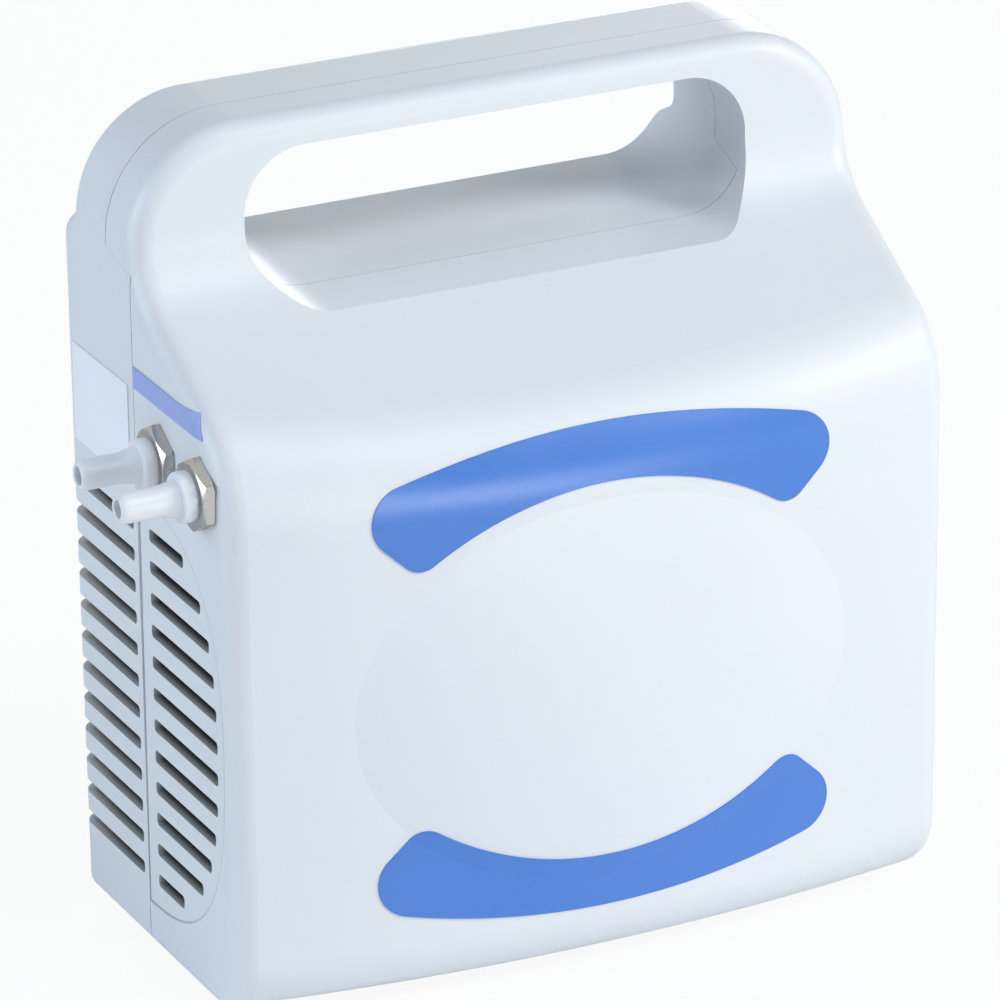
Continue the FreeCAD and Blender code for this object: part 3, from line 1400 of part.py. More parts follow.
def seal_retainer():
    """Disc that clamps the cup seal."""
    low = PISTON_TOP_Z + SEAL + 0.02
    disc = rod_z(PISTON_R - 1.6, low, low + RETAINER - 0.4, CRANK_X, SHAFT_Y)
    disc = disc.makeChamfer(0.5, edges_where(disc, lambda m: m.z > low + RETAINER - 0.5))
    sink = Part.makeCone(1.6, 3.4, 1.8, V(CRANK_X, SHAFT_Y, low + RETAINER - 2.2), Z_AXIS)
    return disc.cut([sink, rod_z(1.6, 0, FAR, CRANK_X, SHAFT_Y)])


def retainer_screw():
    """Countersunk screw in the middle of the piston."""
    low = PISTON_TOP_Z + SEAL + 0.02
    head = Part.makeCone(1.5, 3.2, 1.7, V(CRANK_X, SHAFT_Y, low + RETAINER - 2.14), Z_AXIS)
    shank = rod_z(1.5, PISTON_TOP_Z - 7, low + RETAINER - 2.0, CRANK_X, SHAFT_Y)
    return fused([head, shank])


def cylinder_sleeve():
    """Hard-anodised cylinder sleeve between the crankcase and the valve plate."""
    return ring_z(BORE_R + SLEEVE_WALL, BORE_R, SLEEVE_Z + 0.02, VALVE_PLATE_Z - 0.02, CRANK_X,
                  SHAFT_Y)


def head_screw_places():
    """Axis (x, y) of each head screw."""
    offsets = (-HEAD_SCREW_OFFSET, HEAD_SCREW_OFFSET)
    return [(CRANK_X + dx, SHAFT_Y + dy) for dx in offsets for dy in offsets]


def head_stack(low, high):
    """Block with the head's outline and its four screw holes."""
    block = pad_z(HEAD_SIDE / 2, HEAD_SIDE / 2, HEAD_CORNER, low, high, CRANK_X, SHAFT_Y)
    holes = [rod_z(SCREW_R + 0.2, low - 1, high + 1, x, y) for x, y in head_screw_places()]
    return block.cut(holes)


def valve_plate():
    """Plate with the intake and exhaust holes and a locating ring for the sleeve."""
    plate = head_stack(VALVE_PLATE_Z, GASKET_Z)
    holes = []
    for sign in (-1, 1):
        y = SHAFT_Y + sign * PORT_OFFSET
        holes.append(rod_z(VALVE_HOLE_R, 0, FAR, CRANK_X - 3, y))
        holes.append(rod_z(VALVE_HOLE_R, 0, FAR, CRANK_X + 3, y))
        holes.append(rod_z(1.05, 0, FAR, CRANK_X + REED_LENGTH / 2 + 1.5, y))
    return plate.cut(holes)


def reed(sign):
    """Spring-steel reed: the front one opens down, the rear one opens up."""
    y = SHAFT_Y + sign * PORT_OFFSET
    low = VALVE_PLATE_Z - REED - 0.02 if sign < 0 else GASKET_Z + 0.02
    blade = pad_z(REED_LENGTH / 2 + 1, REED_WIDTH / 2, 3.5, low, low + REED, CRANK_X + 2, y)
    return blade.cut(rod_z(1.05, 0, FAR, CRANK_X + REED_LENGTH / 2 + 1.5, y))


def reed_screws():
    """Small screws that hold the root of each reed."""
    screws = []
    x = CRANK_X + REED_LENGTH / 2 + 1.5
    for sign in (-1, 1):
        y = SHAFT_Y + sign * PORT_OFFSET
        if sign < 0:
            seat = VALVE_PLATE_Z - REED - REED_PLAY
            head = rod_z(1.9, seat - 1.0, seat, x, y)
            shank = rod_z(1.0, seat - 0.5, GASKET_Z - 0.5, x, y)
        else:
            seat = GASKET_Z + REED + REED_PLAY
            head = rod_z(1.9, seat, seat + 1.0, x, y)
            shank = rod_z(1.0, VALVE_PLATE_Z + 0.5, seat + 0.5, x, y)
        screws.append(fused([head, shank]))
    return group(screws)


def chamber_blocks(low, high, margin):
    """The two chambers of the head, intake in front and exhaust behind the web."""
    reach_x = HEAD_SIDE / 2 - HEAD_WALL - 4.0 + margin
    reach_y = HEAD_SIDE / 2 - HEAD_WALL - 1.5 + margin
    web = 1.5 - margin
    blocks = []
    for sign in (-1, 1):
        near = SHAFT_Y + sign * web
        away = SHAFT_Y + sign * reach_y
        block = box((CRANK_X - reach_x + 5, min(near, away), low),
                    (CRANK_X + reach_x - 5, max(near, away), high))
        blocks.append(block)
    return blocks


def head_gasket():
    """Gasket between the valve plate and the head."""
    return head_stack(GASKET_Z + 0.01, HEAD_Z - 0.01).cut(chamber_blocks(0, FAR, 0.0))


def cylinder_head():
    """Finned head with an intake chamber, an exhaust chamber and two tapped ports."""
    block = head_stack(HEAD_Z, HEAD_TOP_Z)
    cutters = chamber_blocks(0, HEAD_TOP_Z - HEAD_WALL - 1, 0.0)
    fin_pitch = 3.2
    for index in range(4):
        z = HEAD_Z + 2.2 + fin_pitch * index
        outer = box((CRANK_X - FAR / 4, SHAFT_Y - FAR / 4, z), (CRANK_X + FAR / 4, SHAFT_Y + FAR / 4,
                                                               z + 1.5))
        keep = pad_z(HEAD_SIDE / 2 - 2.4, HEAD_SIDE / 2 - 2.4, HEAD_CORNER - 2, z - 1, z + 3,
                     CRANK_X, SHAFT_Y)
        posts = [rod_z(4.2, z - 1, z + 3, x, y) for x, y in head_screw_places()]
        cutters.append(outer.cut([keep] + posts))
    for sign in (-1, 1):
        cutters.append(rod_z(3.05, HEAD_Z + 3, FAR, CRANK_X, SHAFT_Y + sign * PORT_OFFSET))
    return block.cut(cutters)


def head_screws():
    """Long screws from the head down into the crankcase flange."""
    screws = []
    for x, y in head_screw_places():
        shank = rod_z(SCREW_R, CRANK_FLANGE_Z - 3, HEAD_TOP_Z + 0.5, x, y)
        head = rod_z(SCREW_HEAD_R, HEAD_TOP_Z + 0.05, HEAD_TOP_Z + 3.0, x, y)
        screws.append(fused([shank, head]))
    return group(screws)


def base_screw_places():
    """Axis (x, y) of the screws up through the base plate: two in the crankcase, two in the bell."""
    left = CRANKCASE_LEFT + 10
    right = (STACK_RIGHT + 2 + BELL_RIGHT) / 2
    return [
        (left, SHAFT_Y - 16),
        (left, SHAFT_Y + 16),
        (right, SHAFT_Y - 14),
        (right, SHAFT_Y + 14),
    ]


def base_plate():
    """Steel plate that carries the pump on its isolators."""
    centre_x = (BASE_PLATE_LEFT + BASE_PLATE_RIGHT) / 2
    half_x = (BASE_PLATE_RIGHT - BASE_PLATE_LEFT) / 2
    plate = pad_z(half_x, BASE_PLATE_HALF_WIDTH, 8.0, BASE_PLATE_Z, PUMP_FLOOR_Z - 0.02, centre_x,
                  SHAFT_Y)
    places = isolator_places() + base_screw_places()
    holes = [rod_z(SCREW_R + 0.2, 0, FAR, x, y) for x, y in places]
    slots = []
    pitch = (STACK_LENGTH - 6.0) / 2
    for index in range(3):
        x = STACK_LEFT - 4.0 + pitch * index
        slots.append(pad_z(8.0, 26.0, 7.9, 0, FAR, x, SHAFT_Y))
    return plate.cut(holes + slots)


def base_screws():
    """Screws up through the base plate."""
    screws = []
    for x, y in base_screw_places():
        shank = rod_z(SCREW_R, BASE_PLATE_Z - 0.5, PUMP_FLOOR_Z + 3.5, x, y)
        head = rod_z(SCREW_HEAD_R, BASE_PLATE_Z - SCREW_HEAD_HEIGHT, BASE_PLATE_Z - 0.02, x, y)
        screws.append(fused([shank, head]))
    return group(screws)


def isolators():
    """Waisted rubber isolators between the floor and the base plate."""
    low = WALL + ISOLATOR_BOSS + 0.02
    top = BASE_PLATE_Z - 0.02
    waist = ISOLATOR_R - 1.6
    profile = [
        (low, 0),
        (low, ISOLATOR_R),
        (low + 1.5, ISOLATOR_R),
        (low + 2.8, waist),
        (top - 2.8, waist),
        (top - 1.5, ISOLATOR_R),
        (top, ISOLATOR_R),
        (top, SCREW_R + SCREW_CLEAR),
        (top - 6.0, SCREW_R + SCREW_CLEAR),
        (top - 6.0, 0),
    ]
    return group([turned(profile, V(x, y, 0), Z_AXIS) for x, y in isolator_places()])


def isolator_screws():
    """Screws down through the base plate into the isolators."""
    screws = []
    for x, y in isolator_places():
        shank = rod_z(SCREW_R, BASE_PLATE_Z - 5.5, PUMP_FLOOR_Z + 0.5, x, y)
        head = rod_z(SCREW_HEAD_R, PUMP_FLOOR_Z, PUMP_FLOOR_Z + SCREW_HEAD_HEIGHT, x, y)
        screws.append(fused([shank, head]))
    return group(screws)


def fan(centre_x, radius):
    """Moulded fan with a hub, pitched blades and a bore for the shaft."""
    left = centre_x - FAN_WIDTH / 2
    right = centre_x + FAN_WIDTH / 2
    hub = rod_x(FAN_HUB_R, left, right, SHAFT_Y, SHAFT_Z)
    sweep = ring_x(radius, FAN_HUB_R - 1, left, right, SHAFT_Y, SHAFT_Z)
    blade = box((centre_x - FAN_WIDTH, SHAFT_Y - FAN_BLADE / 2, SHAFT_Z),
                (centre_x + FAN_WIDTH, SHAFT_Y + FAN_BLADE / 2, SHAFT_Z + radius + 1))
    blade.rotate(V(centre_x, SHAFT_Y, SHAFT_Z), Z_AXIS, FAN_PITCH)
    blades = []
    for index in range(FAN_BLADES):
        turn = about_shaft(blade, 360 * index / FAN_BLADES)
        blades.append(turn.common(sweep))
    body = fused([hub] + blades)
    return body.cut(rod_x(SHAFT_R + FIT, left - 1, right + 1, SHAFT_Y, SHAFT_Z))


def capacitor_y():
    """Centre of the capacitor, one clip's thickness off the rear wall."""
    return rear_y(CAPACITOR_Z) - WALL - CAPACITOR_R - CLIP_THICKNESS - 1.0


def run_capacitor():
    """Motor run capacitor with its two terminals."""
    y = capacitor_y()
    right = CAPACITOR_X + CAPACITOR_LENGTH
    can = rod_x(CAPACITOR_R, CAPACITOR_X, right, y, CAPACITOR_Z)
    can = rounded(can, 1.5, lambda m: abs(m.x - CAPACITOR_X) < 0.1 or abs(m.x - right) < 0.1)
    tabs = [
        box((right - 0.5, y - 0.4, CAPACITOR_Z + dz - 2.4),
            (right + 8, y + 0.4, CAPACITOR_Z + dz + 2.4))
        for dz in (-6, 6)
    ]
    return fused([can] + tabs)


def capacitor_clip():
    """Spring clip that holds the capacitor to the rear wall."""
    y = capacitor_y()
    centre = CAPACITOR_X + CAPACITOR_LENGTH / 2
    left = centre - CLIP_WIDTH / 2
    right = centre + CLIP_WIDTH / 2
    outer = CAPACITOR_R + CLIP_THICKNESS
    band = ring_x(outer, CAPACITOR_R + 0.02, left, right, y, CAPACITOR_Z)
    mouth = box((left - 1, y - FAR, CAPACITOR_Z - 9), (right + 1, y, CAPACITOR_Z + 9))
    wall_y = rear_y(CAPACITOR_Z - outer) - WALL - 0.05
    back = box((left, y + outer - CLIP_THICKNESS, CAPACITOR_Z - 5),
               (right, wall_y, CAPACITOR_Z + 5))
    return fused([band.cut(mouth), back])


def build():
    """All nodes by name."""
    outer, core = closed_housing()
    return {
        "front_shell": front_shell(outer, core),
        "rear_shell": rear_shell(outer, core),
        "shell_screws": shell_screws(),
        "rubber_feet": rubber_feet(),
        "foot_screws": foot_screws(),
        "upper_label": front_label(UPPER_LABEL_Z, 1),
        "lower_label": front_label(LOWER_LABEL_Z, -1),
        "side_stripe": side_stripe(),
        "rating_plate": rating_plate(),
        "intake_barb": hose_barb(BARB_FRONT_Y),
        "exhaust_barb": hose_barb(BARB_REAR_Y),
        "panel_nuts": group([panel_nut(BARB_FRONT_Y), panel_nut(BARB_REAR_Y)]),
        "bulkhead_fittings": group([bulkhead_fitting(BARB_FRONT_Y), bulkhead_fitting(BARB_REAR_Y)]),
        "intake_hose": inner_hose(*port_places()[0]),
        "exhaust_hose": inner_hose(*port_places()[1]),
        "port_elbows": group([port_elbow(port_places()[0][0]), port_elbow(port_places()[1][0])]),
        "mains_inlet": mains_inlet(),
        "switch_bezel": switch_bezel(),
        "switch_rocker": switch_rocker(),
        "motor_shaft": motor_shaft(),
        "rotor_core": rotor_core(),
        "rotor_rings": rotor_rings(),
        "stator_core": stator_core(),
        "stator_windings": stator_windings(),
        "shaft_outer_races": shaft_outer_races(),
        "shaft_inner_races": shaft_inner_races(),
        "shaft_bearing_balls": shaft_bearing_balls(),
        "crankcase": crankcase(),
        "end_bell": end_bell(),
        "tie_bolts": tie_bolts(),
        "eccentric": eccentric(),
        "set_screw": set_screw(),
        "rod_inner_race": rod_race("inner"),
        "rod_outer_race": rod_race("outer"),
        "rod_bearing_balls": rod_balls(),
        "connecting_rod": connecting_rod(),
        "cup_seal": cup_seal(),
        "seal_retainer": seal_retainer(),
        "retainer_screw": retainer_screw(),
        "cylinder_sleeve": cylinder_sleeve(),
        "valve_plate": valve_plate(),
        "intake_reed": reed(-1),
        "exhaust_reed": reed(1),
        "reed_screws": reed_screws(),
        "head_gasket": head_gasket(),
        "cylinder_head": cylinder_head(),
        "head_screws": head_screws(),
        "base_plate": base_plate(),
        "base_screws": base_screws(),
        "isolators": isolators(),
        "isolator_screws": isolator_screws(),
        "left_fan": fan((SHAFT_LEFT + CRANKCASE_LEFT) / 2 - 1.0, LEFT_FAN_R),
        "right_fan": fan((SHAFT_RIGHT + BELL_RIGHT) / 2 + 2.0, RIGHT_FAN_R),
        "run_capacitor": run_capacitor(),
        "capacitor_clip": capacitor_clip(),
    }


def part_origin():
    """Middle of the underside of the whole part, from the barb tips, the dome and the rocker."""
    right = wall_x(HOUSING_HEIGHT - TOP_CORNER)
    rear = switch_rocker().BoundBox.YMax
    return V((right - BARB_TIP_X) / 2, (rear - FRONT_REACH - DOME_RISE) / 2, -FOOT_STANDOFF)


def main():
    """Write one STEP file for each node."""
    os.makedirs("parts", exist_ok=True)
    origin = part_origin()
    for name, shape in build().items():
        placed = shape.copy()
        placed.translate(origin * -1)
        placed.exportStep(os.path.join("parts", name + ".step"))


if __name__ == "__main__":
    main()
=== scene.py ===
"""Looks of a portable piston vacuum pump: finishes, stripe, barbs, rocker marks and studio.

Lengths are in metres.  X points to the right of the front face, Y to the rear and Z up.
"""
import math

import bpy
from bpy.props import FloatProperty, FloatVectorProperty, PointerProperty
from mathutils import Matrix, Vector


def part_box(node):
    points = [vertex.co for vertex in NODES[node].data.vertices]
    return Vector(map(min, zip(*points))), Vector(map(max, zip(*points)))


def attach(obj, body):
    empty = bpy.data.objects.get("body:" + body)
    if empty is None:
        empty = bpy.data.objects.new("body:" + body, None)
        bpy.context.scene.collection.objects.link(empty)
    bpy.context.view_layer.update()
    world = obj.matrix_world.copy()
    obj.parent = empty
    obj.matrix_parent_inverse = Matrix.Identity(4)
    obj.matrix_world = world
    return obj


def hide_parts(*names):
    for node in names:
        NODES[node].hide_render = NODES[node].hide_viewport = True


bl_info = {
    "name": "Piston vacuum pump",
    "version": (1, 0, 0),
    "blender": (4, 5, 0),
    "location": "View3D > Sidebar > Vacuum pump",
    "description": "Finishes, stripe, barbs, rocker marks and studio of a piston vacuum pump",
    "category": "Object",
}

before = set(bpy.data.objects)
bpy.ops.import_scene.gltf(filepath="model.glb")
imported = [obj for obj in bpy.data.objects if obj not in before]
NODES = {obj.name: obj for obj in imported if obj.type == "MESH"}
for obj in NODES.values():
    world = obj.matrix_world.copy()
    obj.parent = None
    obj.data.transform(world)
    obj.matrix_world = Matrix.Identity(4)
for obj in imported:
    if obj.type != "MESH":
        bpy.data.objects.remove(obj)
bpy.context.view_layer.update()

# Edge of a barb's mouth: how far behind the end and how far inside the straight end's radius.
BARB_MOUTH = ((0.0, 0.001), (0.0004, 0.00045), (0.0012, 0.0001), (0.0022, 0.0))
# Edge of a barb's collar: how far behind its face and how far inside its radius.
COLLAR_EDGE = ((0.0, 0.0006), (0.0002, 0.0002), (0.0006, 0.0))
# Where the taper meets the collar: how far before its face and how far outside the taper.
COLLAR_FOOT = ((0.0006, 0.0), (0.0001, 0.0004))

# The inlet's pins across and up from its middle, and half the width and height of one.
PIN_PLACES = ((-0.007, -0.0015), (0.0, 0.0025), (0.007, -0.0015))
PIN_HALF = (0.0011, 0.0021)
# Width of the soft border of a mask that tells metal from plastic.
MASK_EDGE = 0.0001

# The camera that took the photograph: its right and upward directions and its place.
CAMERA_RIGHT = (0.89865, -0.43856, -0.00953)
CAMERA_UP = (0.17379, 0.33600, 0.92569)
CAMERA_PLACE = (-0.79118, -1.65258, 0.86265)
# The point that all lamps face.
LAMP_AIM = (0.0, 0.0, 0.11)


class Socket:
    """An output socket on which Python's operators add Math nodes."""

    def __init__(self, nodes, output):
        self.nodes = nodes
        self.output = output

    def maths(self, operation, *others):
        """Add a Math node that takes this socket first."""
        return self.nodes.node("ShaderNodeMath", {"operation": operation}, [self, *others])

    def __add__(self, other):
        return self.maths("ADD", other)

    def __radd__(self, other):
        return self.maths("ADD", other)

    def __sub__(self, other):
        return self.maths("SUBTRACT", other)

    def __rsub__(self, other):
        return self.nodes.node("ShaderNodeMath", {"operation": "SUBTRACT"}, [other, self])

    def __mul__(self, other):
        return self.maths("MULTIPLY", other)

    def __rmul__(self, other):
        return self.maths("MULTIPLY", other)

    def __truediv__(self, other):
        return self.maths("DIVIDE", other)

    def __pow__(self, other):
        return self.maths("POWER", other)

    def __abs__(self):
        return self.maths("ABSOLUTE")

    def least(self, other):
        """The smaller of two values."""
        return self.maths("MINIMUM", other)

    def most(self, other):
        """The larger of two values."""
        return self.maths("MAXIMUM", other)

    def ramped(self, low, high):
        """Nought below low, one above high and smooth between them."""
        settings = {"interpolation_type": "SMOOTHSTEP"}
        return self.nodes.node("ShaderNodeMapRange", settings, [self, low, high, 0.0, 1.0])


class Nodes:
    """The nodes of a material or a world."""

    def __init__(self, owner):
        owner.use_nodes = True
        self.tree = owner.node_tree

    def node(self, kind, settings=(), values=(), output=0):
        """Add a node, set it up and fill its inputs by place or by name."""
        node = self.tree.nodes.new(kind)
        for key, value in dict(settings).items():
            setattr(node, key, value)
        pairs = values.items() if isinstance(values, dict) else enumerate(values)
        for key, value in pairs:
            self.fill(node.inputs[key], value)
        return Socket(self, node.outputs[output])

    def fill(self, socket, value):
        """Give an input a link or a fixed value."""
        if isinstance(value, Socket):
            self.tree.links.new(value.output, socket)
        elif socket.type == "RGBA":
            socket.default_value = tuple(value)[:3] + (1.0,)
        else:
            socket.default_value = value

    def show(self, shader):
        """Make a shader the one that the tree gives out."""
        self.fill(self.tree.get_output_node("ALL").inputs["Surface"], shader)


class Finish(Nodes):
    """A material with one Principled shader."""

    def __init__(self, name, colour, roughness, metallic=0.0, **fixed):
        self.material = bpy.data.materials.new(name)
        super().__init__(self.material)
        self.shader = self.tree.nodes["Principled BSDF"]
        self.set("Base Color", colour)
        self.set("Roughness", roughness)
        self.set("Metallic", metallic)
        for key, value in fixed.items():
            self.set(key.replace("_", " "), value)

    def set(self, name, value):
        """Give one of the shader's inputs a fixed value or a link."""
        self.fill(self.shader.inputs[name], value)

    def place(self, scale=(1.0, 1.0, 1.0)):
        """Object coordinates, scaled."""
        point = self.node("ShaderNodeTexCoord", output="Object")
        return self.node("ShaderNodeMapping", {}, {"Vector": point, "Scale": scale})

    def noise(self, size, detail=2.0, scale=(1.0, 1.0, 1.0)):
        """Smooth noise whose spots are about one size across."""
        values = {"Vector": self.place(scale), "Scale": 1.0 / size, "Detail": detail}
        return self.node("ShaderNodeTexNoise", {}, values)

    def xyz(self):
        """The three object coordinates."""
        point = self.node("ShaderNodeTexCoord", output="Object")
        split = self.node("ShaderNodeSeparateXYZ", {}, [point])
        return [Socket(self, output) for output in split.output.node.outputs]

    def blended(self, share, first, second):
        """Colour between two colours."""
        settings = {"data_type": "RGBA", "blend_type": "MIX"}
        values = {0: share, 6: first, 7: second}
        return self.node("ShaderNodeMix", settings, values, output=2)

    def coloured(self, share, first, second):
        """Give the base colour two colours and the share of the second one."""
        self.set("Base Color", self.blended(share, first, second))

    def tint(self, share, colour):
        """Draw the base colour so far towards a colour by a share."""
        socket = self.shader.inputs["Base Color"]
        self.coloured(share, Socket(self, socket.links[0].from_socket), colour)

    def glossed(self, roughness, *spreads):
        """Vary the roughness about its middle by pairs of a noise and its spread."""
        for noise, spread in spreads:
            roughness = roughness + (noise - 0.5) * spread
        self.set("Roughness", roughness)

    def bumped(self, height, depth):
        """Give the surface a bump from a height between nought and one."""
        values = {"Strength": 1.0, "Distance": depth, "Height": height}
        self.set("Normal", self.node("ShaderNodeBump", {}, values))


def painted(finish, *names):
    """Give a finish to CAD nodes."""
    for name in names:
        mesh = NODES[name].data
        mesh.materials.clear()
        mesh.materials.append(finish.material)


def dimmed(colour, share):
    """A colour at a share of its strength."""
    return [part * share for part in colour]


def moulded(name, colour, roughness, grain, depth, mottle=0.03):
    """Moulded plastic with a spark-eroded grain, faint mottling and uneven gloss."""
    finish = Finish(name, colour, roughness)
    cloud = finish.noise(size=0.05, detail=3.0)
    finish.coloured(cloud, colour, dimmed(colour, 1 - mottle))
    fine = finish.noise(size=grain, detail=3.0)
    finish.glossed(roughness, (fine, 0.12), (cloud, 0.06))
    finish.bumped(fine, depth)
    return finish


def printed(name, colour, roughness=0.28):
    """Smooth printed film with a faint orange peel."""
    finish = Finish(name, colour, roughness)
    cloud = finish.noise(size=0.05)
    finish.coloured(cloud, colour, [part + (1 - part) * 0.03 for part in colour])
    finish.glossed(roughness, (cloud, 0.1))
    finish.bumped(finish.noise(size=0.003, detail=1.0), depth=0.000006)
    return finish


def turned_metal(name, colour, roughness, groove=0.0004, across=(1.0, 0.05, 0.05)):
    """Machined metal with fine tool marks along one direction."""
    finish = Finish(name, colour, roughness, metallic=1.0)
    marks = finish.noise(size=groove, detail=4.0, scale=across)
    smear = finish.noise(size=0.006)
    finish.glossed(roughness, (marks, 0.18), (smear, 0.15))
    finish.coloured(smear, colour, dimmed(colour, 0.86))
    finish.bumped(marks, depth=0.000012)
    return finish


def cast_metal(name, colour, roughness):
    """Die-cast metal with a sandy skin."""
    finish = Finish(name, colour, roughness, metallic=1.0)
    skin = finish.noise(size=0.0011, detail=4.0)
    cloud = finish.noise(size=0.012, detail=3.0)
    finish.coloured(cloud, colour, dimmed(colour, 0.78))
    finish.glossed(roughness, (skin, 0.25))
    finish.bumped(skin, depth=0.00008)
    return finish


def soft_rubber(name, colour, roughness=0.75):
    """Rubber with a dusty bloom."""
    finish = Finish(name, colour, roughness)
    bloom = finish.noise(size=0.004, detail=4.0)
    finish.coloured(bloom.ramped(0.45, 0.7), colour, [part + 0.035 for part in colour])
    finish.glossed(roughness, (bloom, 0.2))
    finish.bumped(finish.noise(size=0.0008, detail=3.0), depth=0.00003)
    return finish


def banded(name, colour, gap, pitch, stretch, metallic, roughness, depth):
    """Stacked sheets or lying wires: thin dark lines at an even pitch along X."""
    finish = Finish(name, colour, roughness, metallic)
    settings = {"wave_type": "BANDS", "bands_direction": "X", "wave_profile": "SIN"}
    # At a scale of one the texture repeats every 2 pi / 20.
    values = {"Vector": finish.place(stretch), "Scale": 2 * math.pi / pitch / 20.0}
    lines = finish.node("ShaderNodeTexWave", settings, values, output="Fac")
    cloud = finish.noise(size=0.01, detail=3.0)
    finish.coloured(cloud * 0.25, finish.blended(lines, gap, colour), gap)
    finish.glossed(roughness, (cloud, 0.2))
    finish.bumped(lines, depth)
    return finish


def wall_depth(finish, look):
    """Depth of a point behind the side and rear walls, whose corners are rounded."""
    x, y, z = finish.xyz()
    low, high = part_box("rear_shell")
    across = abs(x - (low.x + high.x) / 2) - (look.half_width - look.rear_round)
    along = y - (high.y - look.rear_lean - look.rear_round)
    beyond = (across.most(0.0) ** 2.0 + along.most(0.0) ** 2.0) ** 0.5
    return look.rear_round - beyond - across.most(along).least(0.0)


def louvre_shade(finish, look):
    """Mask of painted shade: one deep in the louvre slots, nought on the shells' outside."""
    x, y, z = finish.xyz()
    low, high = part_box("rear_shell")
    border = look.shade_border
    above = z.ramped(look.louvre_low - border, look.louvre_low)
    below = 1.0 - z.ramped(look.louvre_high, look.louvre_high + border)
    behind = y.ramped(look.louvre_front - border, look.louvre_front)
    wrap = look.half_width - look.louvre_wrap
    beside = abs(x - (low.x + high.x) / 2).ramped(wrap - 2 * border, wrap)
    deep = wall_depth(finish, look).ramped(border, look.shade_depth)
    return deep * above * below * behind * beside


def panel_shadow_line(finish, look):
    """Mask of a painted shadow line: one on the louvre panel's outline, nought away from it."""
    x, y, z = finish.xyz()
    low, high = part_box("rear_shell")
    rise = z - look.panel_z
    share = abs(y - look.seam_y) / look.panel_reach
    level = rise.most(0.0) / look.panel_upper + (0.0 - rise).most(0.0) / look.panel_lower
    outline = share ** look.panel_power + level ** look.panel_power
    line = 1.0 - abs(outline - 1.0).ramped(0.0, look.panel_shadow_line)
    wall = look.half_width - look.panel_skin
    outside = abs(x - (low.x + high.x) / 2).ramped(wall - 2 * look.shade_border, wall)
    front = 1.0 - y.ramped(look.seam_y - look.shade_border, look.seam_y)
    return line * outside * front


def clear_selection():
    """Leave nothing selected."""
    bpy.ops.object.select_all(action="DESELECT")


def edit_all():
    """Go into edit mode with the whole mesh selected."""
    bpy.ops.object.mode_set(mode="EDIT")
    bpy.ops.mesh.select_all(action="SELECT")


def leave_edit():
    """Go back to object mode."""
    bpy.ops.object.mode_set(mode="OBJECT")


def applied(piece, kind, **values):
    """Put a modifier on a piece and apply it."""
    modifier = piece.modifiers.new(kind.title(), kind)
    for key, value in values.items():
        setattr(modifier, key, value)
    bpy.ops.object.modifier_apply(modifier=modifier.name)


